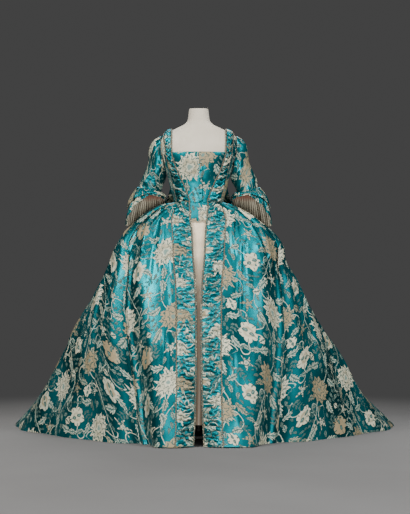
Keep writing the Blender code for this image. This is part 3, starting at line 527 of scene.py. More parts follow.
def round_form(sign, degrees, z, lift):
    return off_form(sign, points(*form_section(degrees, z), z), lift)


def over_shoulder(sign, x, turn, lift):
    """Points over the shoulder: turn 0 is level in front, 90 straight up and 180 level behind."""
    x, turn = np.broadcast_arrays(np.asarray(x, float), np.asarray(turn, float))
    cosine, sine = cos_deg(turn), sin_deg(turn)
    near, far = np.zeros_like(x), np.full_like(x, SHOULDER_REACH)
    for _ in range(HALVINGS):
        middle = (near + far) / 2
        p = points(x, -middle * cosine, ARMHOLE_MIDDLE_Z + middle * sine)
        inside = torso_value(p) < 0
        near, far = np.where(inside, middle, near), np.where(inside, far, middle)
    return off_form(sign, p, lift)


def rise_turn(rise):
    return np.degrees((rise - ARMHOLE_MIDDLE_Z) / TURN_RADIUS)


def armhole_degrees(z, behind, grown=0.0):
    drop = (ARMHOLE_MIDDLE_Z - z) / (ARMHOLE_DEPTH + grown)
    half = ARMHOLE_HALF_DEG + math.degrees(grown / ARMHOLE_RADIUS)
    away = half * np.sqrt(np.maximum(0.0, 1 - drop * drop))
    return SIDE_SEAM_DEG + np.where(behind, away, -away)


def armhole_x(turn, grown=0.0):
    degrees = armhole_degrees(ARMHOLE_MIDDLE_Z, False, grown)
    side = round_form(1, degrees, ARMHOLE_MIDDLE_Z, 0.0)[..., 0]
    return mix(side, ARMHOLE_TOP_X - grown, sin_deg(turn) ** 2)


def fold_height(panel, share, z):
    """How far the folds and waist pleats of a panel stand out at shares of its width."""
    height = np.zeros(np.broadcast(share, z).shape)
    for fold in FOLDS:
        if fold["panel"] == panel:
            down = np.clip((fold["start_z"] - z) / fold["start_z"], 0.0, 1.0)
            ends = ((fold["top" + k], fold["hem" + k]) for k in ("", "_width", "_height"))
            place, wide, tall = (mix(*pair, down) for pair in ends)
            away = (share - place) / wide
            away = away / np.where(away > 0, 1 - fold["lean"], 1 + fold["lean"])
            height = height + tall * smooth(down * FOLD_GROWTH) * smooth(1 - np.abs(away))
    kept = smooth((z - PLEAT_FOOT_Z) / (PLEAT_FULL_Z - PLEAT_FOOT_Z)) * smooth((WAIST_Z - z) / PLEAT_TOP_FADE)
    for centre in WAIST_PLEATS.get(panel, ()):
        height = height + PLEAT_HEIGHT * kept * smooth(1 - np.abs(share - centre) / PLEAT_HALF_SHARE)
    return height


def skirt_section(side, degrees, z):
    x, y = SKIRT.section(degrees, z)
    return x * (1 + side["tip_spread"] * np.maximum(0.0, 1 - z / SPREAD_START_Z)), y


def plan_normal(ring, share):
    step = 1e-3
    ahead, behind = ring(share + step), ring(share - step)
    return unit(points(ahead[1] - behind[1], behind[0] - ahead[0], np.zeros_like(ahead[0])))


def front_edge_degrees(z):
    return section_degrees(OPENING.at(z, "half_width"), SKIRT.at(z, "half_width"), SKIRT.at(z, "power"))


def skirt_panel(side, panel, u, z):
    """A skirt panel on one side.

    In front, u runs from the open edge to the deep fold at the pannier's corner. At the side it runs from
    that fold to the seam with the sack back.
    """
    shape_z = np.maximum(z, SHAPE_FLOOR_Z)
    start, end = front_edge_degrees(shape_z), SKIRT.at(shape_z, side["corner"])
    if panel == "side":
        start, end = end, SKIRT.at(shape_z, "seam_deg")

    def ring(share):
        return skirt_section(side, mix(start, end, share), shape_z)

    p = points(*ring(u), shape_z) + plan_normal(ring, u) * fold_height(panel, u, shape_z)[..., None]
    p[..., 2] = z
    if panel == "front":
        p[..., 2] += FRONT_HEM_LIFT * smooth(1 - z / HEM_LIFT_TOP_Z) * smooth((1 - u) * 2)
    return p * (side["sign"], 1, 1)


def sack_panel(side, u, z):
    """Half the sack back: u runs from the centre back to the edge."""
    shape_z = np.maximum(z, SHAPE_FLOOR_Z)
    seam_x, seam_y = skirt_section(side, SKIRT.at(shape_z, "seam_deg"), shape_z)
    joined = smooth((SACK_FREE_Z - shape_z) / (SACK_FREE_Z - SACK_JOINED_Z))
    edge_x = mix(SACK.at(shape_z, "edge_x"), seam_x, joined)
    edge_y = mix(SACK.at(shape_z, "edge_y"), seam_y, joined)
    centre_y = SACK.at(shape_z, "centre_y")
    rounded = smooth((SACK_ROUND_Z - shape_z) / SACK_ROUND_FADE)

    def ring(share):
        along = mix(share, np.sin(share * math.pi / 2), rounded)
        out = mix(1 - share * share, np.cos(share * math.pi / 2), rounded)
        return edge_x * along, edge_y + (centre_y - edge_y) * out

    p = points(*ring(u), shape_z) - plan_normal(ring, u) * fold_height("sack", u, shape_z)[..., None]
    low = z - SACK_NECK_DIP * u * u * smooth((z - SACK_DIP_Z) / (SACK_TOP_Z - SACK_DIP_Z))
    close = smooth((z - SACK_CLOSE_Z) / (SACK_TOP_Z - SACK_CLOSE_Z))
    half_width = TORSO.at(low, "half_width")
    wide = np.minimum(np.abs(p[..., 0]), half_width) / half_width
    deep = np.maximum(0.0, 1 - wide**TORSO_POWER) ** (1 / TORSO_POWER)
    p[..., 1] = mix(p[..., 1], TORSO.at(low, "back") * deep + SACK_NECK_GAP, close)
    p[..., 2] = low
    return p * (side["sign"], 1, 1)


def compere_edge(z):
    """How far the false front reaches from the middle: under the robing, or between the skirt's edges."""
    robing = ROBING.at(np.minimum(z, ARMHOLE_MIDDLE_Z), "inner_x") + COMPERE_UNDERLAP
    blend = smooth((z - WAIST_Z) / COMPERE_EDGE_BLEND)
    above = mix(OPENING.at(WAIST_Z, "half_width") - UNDER_GAP, robing, blend)
    return np.where(z < WAIST_Z, OPENING.at(z, "half_width") - UNDER_GAP, above)


def compere_points(x, z):
    """Points of the false front on the wearer's left."""
    x, z = np.broadcast_arrays(x, z)
    upper = round_form(1, section_degrees(x, TORSO.at(z, "half_width"), TORSO_POWER), z, BODICE_LIFT)
    degrees = section_degrees(x, SKIRT.at(z, "half_width"), SKIRT.at(z, "power"))
    lower = points(*skirt_section(LEFT, degrees, z), z)
    return mix(lower, upper, smooth((z - WAIST_Z + COMPERE_BLEND / 2) / COMPERE_BLEND)[..., None])


# Grids


def even(first, last, step):
    """Values from first to last, no further apart than step."""
    return np.linspace(first, last, max(2, int(math.ceil(abs(last - first) / step)) + 1))


def outward(grid, sign, closed=False):
    """Unit normals out of a grid's cloth."""
    if closed:
        across = np.roll(grid, -1, axis=1) - np.roll(grid, 1, axis=1)
    else:
        across = np.gradient(grid, axis=1)
    return unit(np.cross(np.gradient(grid, axis=0), across) * sign)


def moved_out(grid, height, sign, closed=False):
    return grid + outward(grid, sign, closed) * height[..., None]


def lengths(grid, closed=False):
    """Lengths along the cloth from the anchor column, and down it along its straight grain."""
    if closed:
        grid = np.concatenate([grid, grid[:, :1]], axis=1)
    across = run_lengths(grid, 1)
    down = np.zeros(across.shape)
    for r in range(1, len(grid)):
        above = across[r - 1]
        at = np.minimum(across[r], above[-1])
        place = np.stack([np.interp(at, above, grid[r - 1, :, k]) for k in range(3)], axis=-1)
        gone = np.sum((grid[r] - place) ** 2, axis=1) - (across[r] - at) ** 2
        down[r] = np.interp(at, above, down[r - 1]) + np.sqrt(np.maximum(gone, 1e-12))
    return across, down


LATTICE = 64


def noise(x, y, seed):
    """Smooth noise from -1 to 1 over a lattice of whole numbers."""
    lattice = np.random.default_rng(seed).uniform(-1, 1, (LATTICE, LATTICE))
    x, y = np.broadcast_arrays(x, y)
    x0, y0 = np.floor(x).astype(int), np.floor(y).astype(int)
    tx, ty = smooth(x - x0), smooth(y - y0)
    here, right, above, low = x0 % LATTICE, (x0 + 1) % LATTICE, y0 % LATTICE, (y0 + 1) % LATTICE
    top_row = mix(lattice[above, here], lattice[above, right], tx)
    return mix(top_row, mix(lattice[low, here], lattice[low, right], tx), ty)


# A crease starts at a place across the cloth and a height, and ends at others. A trough's height is below 0.
CREASES = named(
    "panel side top_u top_z low_u low_z half_width height",
    ("front", "right", 0.12, 1.03, 0.165, 0.7, 0.022, 0.0065),
    ("front", "right", 0.15, 0.99, 0.235, 0.64, 0.026, -0.0055),
    ("front", "right", 0.18, 1.035, 0.3, 0.56, 0.03, 0.008),
    ("front", "right", 0.225, 1.01, 0.37, 0.69, 0.022, -0.005),
    ("front", "right", 0.105, 0.9, 0.118, 0.54, 0.018, 0.005),
    ("front", "right", 0.215, 0.64, 0.26, 0.12, 0.038, -0.0035),
    ("front", "right", 0.14, 0.52, 0.15, 0.04, 0.03, 0.0055),
    ("front", "right", 0.19, 0.93, 0.145, 0.82, 0.013, -0.0035),
    ("front", "right", 0.26, 0.9, 0.205, 0.78, 0.014, 0.0032),
    ("front", "left", 0.115, 1.02, 0.145, 0.74, 0.02, 0.006),
    ("front", "left", 0.14, 1.035, 0.22, 0.59, 0.026, -0.006),
    ("front", "left", 0.17, 1, 0.3, 0.76, 0.018, 0.0065),
    ("front", "left", 0.2, 1.035, 0.39, 0.64, 0.028, 0.0075),
    ("front", "left", 0.25, 0.99, 0.44, 0.81, 0.018, -0.0045),
    ("front", "left", 0.16, 0.88, 0.165, 0.48, 0.022, 0.0055),
    ("front", "left", 0.24, 0.56, 0.29, 0.09, 0.04, -0.0035),
    ("front", "left", 0.14, 0.43, 0.155, 0.03, 0.026, 0.005),
    ("front", "left", 0.21, 0.91, 0.16, 0.83, 0.012, -0.0035),
    ("front", "left", 0.33, 0.86, 0.26, 0.76, 0.014, 0.003),
    ("side", "right", 0.06, 0.95, 0.12, 0.42, 0.026, -0.008),
    ("side", "right", 0.13, 0.88, 0.26, 0.2, 0.03, 0.009),
    ("side", "right", 0.22, 0.7, 0.42, 0.06, 0.034, -0.008),
    ("side", "right", 0.33, 0.78, 0.52, 0.25, 0.03, 0.008),
    ("side", "left", 0.05, 0.97, 0.14, 0.36, 0.028, -0.0085),
    ("side", "left", 0.15, 0.83, 0.24, 0.26, 0.028, 0.0085),
    ("side", "left", 0.26, 0.76, 0.47, 0.09, 0.036, -0.0085),
    ("side", "left", 0.35, 0.64, 0.6, 0.15, 0.03, 0.008),
    ("sack", "right", 0.1, 1.05, 0.15, 0.35, 0.03, -0.007),
    ("sack", "right", 0.2, 0.8, 0.38, 0.08, 0.034, 0.0085),
    ("sack", "left", 0.08, 0.98, 0.11, 0.42, 0.028, 0.007),
    ("sack", "left", 0.23, 0.72, 0.44, 0.05, 0.036, -0.008),
)
CREASE_WANDER = 0.010
CREASE_SWING = 5.3
CREASE_SWING_STEP = 1.7
CREASE_BEND = 0.85
CREASE_WIDENING = (0.65, 1.25)
CREASE_ENDS = (0.22, 0.35)


def crease_height(panel, side, across, z):
    height = np.zeros(across.shape)
    for i, crease in enumerate(CREASES):
        if crease["panel"] == panel and crease["side"] == side["name"]:
            along = (crease["top_z"] - z) / (crease["top_z"] - crease["low_z"])
            inside = np.clip(along, 0, 1)
            wander = CREASE_WANDER * np.sin(CREASE_SWING * along + CREASE_SWING_STEP * i) * inside
            centre = mix(crease["top_u"], crease["low_u"], inside**CREASE_BEND) + wander
            wide = crease["half_width"] * mix(*CREASE_WIDENING, inside)
            ends = smooth(along / CREASE_ENDS[0]) * smooth((1 - along) / CREASE_ENDS[1])
            height += crease["height"] * ends * smooth(1 - np.abs(across - centre) / wide)
    return height


# The silk's unevenness: its waves' strength, width, length, wander across and down, its size, and their seed
CRUMPLES = (
    (1.9, 0.130, 0.210, 0.4, 0.0, 0.20, 4),
    (0.55, 0.060, 0.110, 0.5, 0.0, 0.10, 0),
    (0.16, 0.024, 0.052, 0.0, 0.7, 0.05, 2),
)
CRUMPLE_HEIGHTS = (0.45, 0.90)


def crumple(across, z, seed, high, low):
    """Soft unevenness of silk, strongest over the hips."""
    height = 0.0
    for strength, wide, long, wander_across, wander_down, wander_size, step in CRUMPLES:
        wander = noise(across / wander_size, z / wander_size, seed + step + 1)
        place = across / wide + wander_across * wander, z / long + wander_down * wander
        height = height + strength * noise(*place, seed + step)
    foot, top = CRUMPLE_HEIGHTS
    return mix(low, high, smooth((z - foot) / (top - foot))) * height


# The brocade's repeat

REPEAT_WIDTH = 0.52
REPEAT_HEIGHT = 0.60
# Where in the repeat each piece is cut, on the wearer's left and right
REPEAT_PLACES = {
    "skirt_front": ((0.035, 0.0), (0.262, 0.210)),
    "skirt_side": ((0.130, 0.330), (0.410, 0.080)),
    "sack_back": ((0.260, 0.120), (0.0, 0.420)),
    "skirt_robing": ((0.02, 0.05), (0.30, 0.27)),
    "bodice_front": ((0.05, 0.10), (0.33, 0.36)),
    "bodice_side_back": ((0.05, 0.10), (0.33, 0.36)),
    "bodice_robing": ((0.23, 0.15), (0.45, 0.40)),
    "compere": ((0.345, 0.17), (0.345, 0.41)),
    "sleeve": ((0.02, 0.30), (0.42, 0.05)),
    "sleeve_ruffle_lower": ((0.10, 0.30), (0.37, 0.02)),
    "sleeve_ruffle_upper": ((0.30, 0.40), (0.57, 0.12)),
}
FLOWER, LEAF = 1, 2
# x, y, size, turn in degrees, petals, notch, tan and whether it has eyes
FLOWERS = (
    (0.105, 0.115, 0.074, 10, 12, 0.24, 0.1, 0),
    (0.365, 0.185, 0.068, 70, 11, 0.22, 0.8, 0),
    (0.13, 0.405, 0.068, 40, 11, 0.26, 0.55, 0),
    (0.385, 0.48, 0.075, 200, 13, 0.24, 0.05, 0),
    (0.245, 0.03, 0.047, 20, 5, 0.36, 0.1, 1),
    (0.5, 0.335, 0.05, 65, 5, 0.34, 0.75, 1),
    (0.255, 0.3, 0.044, 140, 5, 0.36, 0.15, 1),
    (0.01, 0.53, 0.048, 110, 5, 0.34, 0.3, 1),
    (0.235, 0.17, 0.04, 15, 5, 0.6, 0.1, 0),
    (0.48, 0.06, 0.044, 50, 5, 0.6, 0.2, 0),
    (0.02, 0.265, 0.043, 80, 5, 0.6, 0.05, 0),
    (0.245, 0.5, 0.044, 30, 5, 0.6, 0.6, 0),
    (0.375, 0.33, 0.04, 95, 5, 0.6, 0, 0),
    (0.12, 0.545, 0.026, 10, 5, 0.5, 0, 0),
)
# x, y, size, turn in degrees and tan
LEAVES = (
    (0.19, 0.095, 0.034, 40, 0),
    (0.03, 0.19, 0.04, 120, 0.35),
    (0.13, 0.215, 0.038, 75, 0),
    (0.175, 0.255, 0.03, -35, 0.1),
    (0.02, 0.025, 0.038, 25, 0.1),
    (0.33, 0.085, 0.038, -30, 0.2),
    (0.405, 0.035, 0.034, 100, 0),
    (0.45, 0.145, 0.036, 20, 0),
    (0.3, 0.235, 0.03, 160, 0.55),
    (0.435, 0.26, 0.038, 55, 0.15),
    (0.05, 0.345, 0.034, 210, 0),
    (0.215, 0.385, 0.036, 25, 0.45),
    (0.31, 0.395, 0.038, 120, 0),
    (0.445, 0.4, 0.036, -20, 0.1),
    (0.06, 0.465, 0.032, 65, 0),
    (0.185, 0.48, 0.03, 150, 0.2),
    (0.31, 0.555, 0.038, 35, 0),
    (0.18, 0.575, 0.034, -15, 0.1),
    (0.4, 0.58, 0.032, 80, 0.25),
    (0.475, 0.555, 0.034, 140, 0),
    (0.3, 0.135, 0.018, 70, 0),
    (0.07, 0.285, 0.018, 20, 0),
    (0.195, 0.33, 0.018, 100, 0),
    (0.475, 0.205, 0.018, 130, 0),
    (0.33, 0.02, 0.018, 10, 0),
    (0.29, 0.46, 0.018, 60, 0),
    (0.005, 0.415, 0.02, 160, 0.1),
    (0.11, 0.01, 0.018, 80, 0),
)


def from_place(u, v, x, y):
    """How far points lie from a place of the repeat, the nearest way round."""
    gone = (u - x, REPEAT_WIDTH), (v - y, REPEAT_HEIGHT)
    return [(way + size / 2) % size - size / 2 for way, size in gone]


SPRAYS = named(
    "x y turn_deg pairs curl_deg",
    (0.185, 0.01, 100, 3, 14),
    (0.2, 0.205, 60, 3, -16),
    (0.05, 0.23, 170, 2, 18),
    (0.3, 0.14, 110, 3, 12),
    (0.44, 0.3, 20, 3, -14),
    (0.505, 0.24, 80, 2, 16),
    (0.32, 0.31, 190, 2, -12),
    (0.2, 0.445, 20, 3, 14),
    (0.035, 0.4, 140, 3, -14),
    (0.45, 0.35, 250, 2, 16),
    (0.3, 0.5, 90, 3, -12),
    (0.08, 0.5, 210, 2, 14),
    (0.455, 0.59, 30, 3, 14),
    (0.41, 0.1, 300, 2, -14),
    (0.29, 0.59, 320, 2, 12),
    (0.01, 0.09, 60, 3, -14),
)
LEAFLET_SIZE = 0.0125
LEAFLET_STEP = 0.019
LEAFLET_SPREAD_DEG = 48
LEAFLET_SHRINK = 0.12
LEAFLET_TAN = 0.05


def leaf_row(x, y, size, turn_deg, tan):
    return LEAF, x, y, size, turn_deg, 0, 0, tan, 0


def spray_leaflets():
    """The pairs of small leaves along each spray, and the one at its tip."""
    rows = []
    for spray in SPRAYS:
        x, y, turn = spray["x"], spray["y"], spray["turn_deg"]
        for pair in range(spray["pairs"] + 1):
            size = LEAFLET_SIZE * (1 - LEAFLET_SHRINK * pair)
            for lean in (0,) if pair == spray["pairs"] else (-LEAFLET_SPREAD_DEG, LEAFLET_SPREAD_DEG):
                angle = turn + lean
                along, beside = size * cos_deg(angle), size * sin_deg(angle)
                rows.append(leaf_row(x + along, y + beside, size, angle, LEAFLET_TAN))
            x, y = x + LEAFLET_STEP * cos_deg(turn), y + LEAFLET_STEP * sin_deg(turn)
            turn += spray["curl_deg"]
    return rows


FILL_TRIES = 700
FILL_LARGEST = 0.032
FILL_SMALLEST = 0.0115
FILL_SMALLEST_BUD = 0.014
BUD_REACH = 0.90
LEAF_REACH = 0.62
FILL_ROOM = 0.97
FILL_BLOSSOMS = ((4, 0.45, 1), (7, 0.42, 0), (3, 0.50, 1), (6, 0.40, 1))
GOLDEN_TURN = 0.6180339887
SECOND_TURN = 0.7548776662
GOLDEN_DEG = 137.5
FILL_TAN_STEP = 0.12


def filled(rows):
    """The rows with more leaves and buds wherever the repeat still has room for one."""
    placed = [(x, y, size * (1.0 if kind == FLOWER else LEAF_REACH)) for kind, x, y, size, *_ in rows]
    for step in range(1, FILL_TRIES):
        x, y = step * GOLDEN_TURN % 1 * REPEAT_WIDTH, step * SECOND_TURN % 1 * REPEAT_HEIGHT
        room = min(math.hypot(*from_place(x, y, *place)) - reach for *place, reach in placed)
        size, turn = min(room / FILL_ROOM, FILL_LARGEST), step * GOLDEN_DEG % 360
        if size > FILL_SMALLEST_BUD and step % 4 == 0:
            petals, notch, is_open = FILL_BLOSSOMS[step % len(FILL_BLOSSOMS)]
            rows.append((FLOWER, x, y, size, turn, petals, notch, 0.0, is_open))
            placed.append((x, y, size * BUD_REACH))
        elif size > FILL_SMALLEST:
            rows.append(leaf_row(x, y, size, turn, FILL_TAN_STEP * (step % 5)))
            placed.append((x, y, size * LEAF_REACH))
    return rows


STEMS = named(
    "x swing phase_deg second_swing",
    (0.085, 0.07, 200, 0.018),
    (0.345, 0.062, 20, 0.022),
)
TENDRILS = named(
    "x y radius start_deg sweep_deg",
    (0.16, 0.16, 0.052, 170, 150),
    (0.07, 0.23, 0.046, 300, 160),
    (0.215, 0.235, 0.04, 60, 170),
    (0.03, 0.1, 0.044, 20, 150),
    (0.29, 0.075, 0.046, 130, 170),
    (0.43, 0.105, 0.046, 240, 160),
    (0.4, 0.29, 0.044, 90, 170),
    (0.3, 0.35, 0.048, 200, 150),
    (0.48, 0.44, 0.046, 330, 160),
    (0.18, 0.44, 0.038, 250, 170),
    (0.06, 0.41, 0.044, 100, 150),
    (0.28, 0.56, 0.046, 20, 170),
    (0.15, 0.54, 0.04, 190, 160),
    (0.44, 0.545, 0.042, 60, 170),
    (0.23, 0.11, 0.022, 0, 260),
    (0.33, 0.28, 0.022, 120, 260),
    (0.06, 0.33, 0.022, 200, 260),
    (0.33, 0.425, 0.022, 300, 260),
    (0.5, 0.16, 0.024, 60, 250),
    (0.22, 0.56, 0.02, 150, 260),
)


CHART = filled([(FLOWER, *row) for row in FLOWERS] + [leaf_row(*row) for row in LEAVES] + spray_leaflets())


def stem_distance(stem, u, v):
    around = 2 * math.pi * v / REPEAT_HEIGHT + math.radians(stem["phase_deg"])
    middle = stem["x"] + stem["swing"] * np.sin(around) + stem["second_swing"] * np.sin(2 * around)
    slope = stem["swing"] * np.cos(around) + 2 * stem["second_swing"] * np.cos(2 * around)
    slope = slope * 2 * math.pi / REPEAT_HEIGHT
    return (u - middle) / np.sqrt(1 + slope * slope)


def tendril_distance(tendril, x, y):
    radius, start, sweep = tendril["radius"], tendril["start_deg"], tendril["sweep_deg"]
    ends = [np.hypot(x - radius * cos_deg(end), y - radius * sin_deg(end)) for end in (start, start + sweep)]
    on = (np.degrees(np.arctan2(y, x)) - start) % 360 <= sweep
    return np.where(on, np.hypot(x, y) - radius, np.minimum(*ends))


# A face's place and size where no motif reaches it
NO_MOTIF = (0.09, 0.09, 0.02)
MOTIF_REACH = 1.10
MOTIF_MARGIN = 0.005
LEAF_NARROW = 1.8


def brocade_chart(u, v):
    """For each face's corners: place in its motif, the motif's shape, its tone and the nearest stalk."""
    middle_u, middle_v = u.mean(axis=1), v.mean(axis=1)
    corner_u, corner_v = u - middle_u[:, None], v - middle_v[:, None]
    place = np.full((len(u), 4, 3), NO_MOTIF)
    shape, tone = np.zeros((len(u), 4, 3)), np.zeros((len(u), 4, 3))
    best, nearest = np.zeros(len(u)), np.full(len(u), np.inf)

    def at_corners(x, y, faces):
        return x[faces, None] + corner_u[faces], y[faces, None] + corner_v[faces]

    def turned(x, y, turn):
        return x * cos_deg(turn) + y * sin_deg(turn), y * cos_deg(turn) - x * sin_deg(turn)

    for kind, motif_x, motif_y, size, turn, petals, notch, tan, eyes in CHART:
        x, y = from_place(middle_u, middle_v, motif_x, motif_y)
        along, beside = turned(x, y, turn)
        narrow = 1 if kind == FLOWER else LEAF_NARROW
        close = 1 - np.hypot(along, beside * narrow) / (size * MOTIF_REACH + MOTIF_MARGIN)
        take = np.nonzero(close > best)[0]
        best[take] = close[take]
        along, beside = turned(*at_corners(x, y, take), turn)
        place[take] = np.stack([along, beside, np.full(along.shape, size)], axis=-1)
        shape[take] = petals, notch, kind
        tone[take, :, :2] = tan, eyes

    def draw(distance, stalk, x, y):
        found = np.abs(distance(stalk, x, y))
        take = np.nonzero(found < nearest)[0]
        nearest[take] = found[take]
        tone[take, :, 2] = distance(stalk, *at_corners(x, y, take))

    for stem in STEMS:
        x, _ = from_place(middle_u, middle_v, stem["x"], 0)
        draw(stem_distance, stem, x + stem["x"], middle_v)
    for tendril in TENDRILS:
        draw(tendril_distance, tendril, *from_place(middle_u, middle_v, tendril["x"], tendril["y"]))
    return {"motif_place": place, "motif_shape": shape, "motif_tone": tone}


# Meshes


def flat_corners(values):
    """A grid's values at the four corners of each of its faces, one face after another."""
    found = np.stack([values[:-1, :-1], values[1:, :-1], values[1:, 1:], values[:-1, 1:]], axis=2)
    return found.reshape(-1, 4, *found.shape[3:])


def cloth(
    name,
    grid,
    sign,
    across,
    down,
    slot="brocade_silk",
    materials=("brocade",),
    closed=False,
    lining=None,
    offset=(0, 0),
):
    """A mesh over a grid. A lining starts at the row of faces given, and its end joins the first row."""
    rows, columns = grid.shape[:2]
    index = np.arange(rows * columns).reshape(rows, columns)
    if closed:
        index = np.concatenate([index, index[:, :1]], axis=1)
    if lining:
        index = np.concatenate([index, index[:1]])
        across, down = np.concatenate([across, across[:1]]), np.concatenate([down, down[-1:]])
    faces, u, v = flat_corners(index), flat_corners(across) + offset[0], flat_corners(down) + offset[1]
    if sign < 0:
        faces, u, v = faces[:, ::-1], u[:, ::-1], v[:, ::-1]
    mesh = bpy.data.meshes.new(name)
    mesh.vertices.add(rows * columns)
    mesh.vertices.foreach_set("co", grid.reshape(-1).astype(np.float32))
    mesh.loops.add(len(faces) * 4)
    mesh.loops.foreach_set("vertex_index", faces.reshape(-1).astype(np.int32))
    mesh.polygons.add(len(faces))
    mesh.polygons.foreach_set("loop_start", np.arange(0, len(faces) * 4, 4, dtype=np.int32))
    if lining:
        is_lining = np.arange(len(faces), dtype=np.int32) >= lining * (index.shape[1] - 1)
        mesh.polygons.foreach_set("material_index", is_lining.astype(np.int32))
    mesh.update(calc_edges=True)
    mesh.shade_smooth()
    layer = mesh.uv_layers.new(name="cloth_metres")
    layer.data.foreach_set("uv", np.stack([u, v], axis=-1).reshape(-1).astype(np.float32))
    if "brocade" in materials:
        for attribute, values in brocade_chart(u, v).items():
            made = mesh.attributes.new(attribute, "FLOAT_VECTOR", "CORNER")
            made.data.foreach_set("vector", values.reshape(-1).astype(np.float32))
    for material in materials:
        mesh.materials.append(MATERIALS[material])
    made = bpy.data.objects.new(name, mesh)
    bpy.context.scene.collection.objects.link(made)
    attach(made, "root")
    return made


HEM_TURN = 0.016
HEM_DEPTH = 1.15
# How far the hem's roll has gone through the cloth, and below its edge in shares of half its thickness
HEM_ROLL = ((0.15, 0.6), (0.50, 0.9), (0.85, 0.6), (1.0, 0.0))
HEM_LENGTHS = np.array([0.0006, 0.0012, 0.0018, 0.0024, 0.0024 + HEM_TURN])


def with_hem(grid, across, down, sign, closed=False):
    """Rolls a grid's last row round the cloth's thickness and turns a strip up behind it."""
    normals = outward(grid, sign, closed)
    last, step = grid[-1], grid[-1] - grid[-2]
    drop = unit(step) * CLOTH / 2
    back = -1 - max(int(round(HEM_TURN / np.median(np.linalg.norm(step, axis=1)))), 1)
    rolled = [last - normals[-1] * CLOTH * deep + drop * low for deep, low in HEM_ROLL]
    rolled.append(grid[back] - normals[back] * CLOTH * HEM_DEPTH)
    grid = np.concatenate([grid, rolled])
    grid[..., 2] = np.maximum(grid[..., 2], 0.0)
    across = np.concatenate([across, np.repeat(across[-1:], len(rolled), axis=0)])
    return grid, across, np.concatenate([down, down[-1:] + HEM_LENGTHS[:, None]])


def declare(made, across, down, held, rests_on, replaced, area_share=1.0):
    """Hides the solids that the piece replaces, and measures the size that it was cut to and its faces'
    areas.
    """
    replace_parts(made, *replaced)
    wide, long = float(np.ptp(across)), float(np.ptp(down))
    faces = np.zeros(len(made.data.polygons))
    made.data.polygons.foreach_get("area", faces)
    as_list(rests_on)


def sew(kind, side, grid, across, down, held, rests_on=(), flat=None, facing=1, area_share=1.0, **how):
    """A side's piece of brocade in place of its solid, cut from its place in the repeat.

    flat is its size without a hem, and facing is -1 where its columns run the other way round.
    """
    name = f"{kind}_{side['name']}"
    offset = REPEAT_PLACES[kind][side["sign"] < 0]
    made = cloth(name + "_cloth", grid, side["sign"] * facing, across, down, offset=offset, **how)
    declare(made, *(flat or (across, down)), held, list(rests_on), [name], area_share)


# Materials


class Value:
    """A number in a node tree. Arithmetic on it adds Math nodes."""

    def __init__(self, tree, socket):
        self.tree = tree
        self.socket = socket

    def math(self, operation, *others):
        node = self.tree.nodes.new("ShaderNodeMath")
        node.operation = operation
        for socket, value in zip(node.inputs, (self, *others)):
            if isinstance(value, Value):
                self.tree.links.new(value.socket, socket)
            else:
                socket.default_value = value
        return Value(self.tree, node.outputs[0])

    def __rsub__(self, other):
        return self * -1 + other

    def ramp(self, low, high):
        """0 below low and 1 above high, with a soft step between."""
        node = self.tree.nodes.new("ShaderNodeMapRange")
        node.interpolation_type = "SMOOTHSTEP"
        self.tree.links.new(self.socket, node.inputs["Value"])
        node.inputs["From Min"].default_value = low
        node.inputs["From Max"].default_value = high
        return Value(self.tree, node.outputs["Result"])

    def blend(self, a, b):
        """a where this is 0 and b where it is 1."""
        return self * b + (1 - self) * a


VALUE_METHODS = {
    "ADD": "__add__ __radd__",
    "SUBTRACT": "__sub__",
    "MULTIPLY": "__mul__ __rmul__",
    "DIVIDE": "__truediv__",
    "ABSOLUTE": "__abs__",
    "MINIMUM": "least",
    "MAXIMUM": "most",
    "GREATER_THAN": "over",
    "POWER": "__pow__",
    "SQRT": "root",
    "SINE": "sine",
    "COSINE": "cosine",
    "FRACT": "fraction",
    "ROUND": "rounded",
    "ARCTAN2": "angle_to",
}
for operation, methods in VALUE_METHODS.items():
    for method in methods.split():
        setattr(Value, method, functools.partialmethod(Value.math, operation))


# A Wave Texture of scale 1 has this many radians of its wave to a metre
WAVE_UNIT = 20


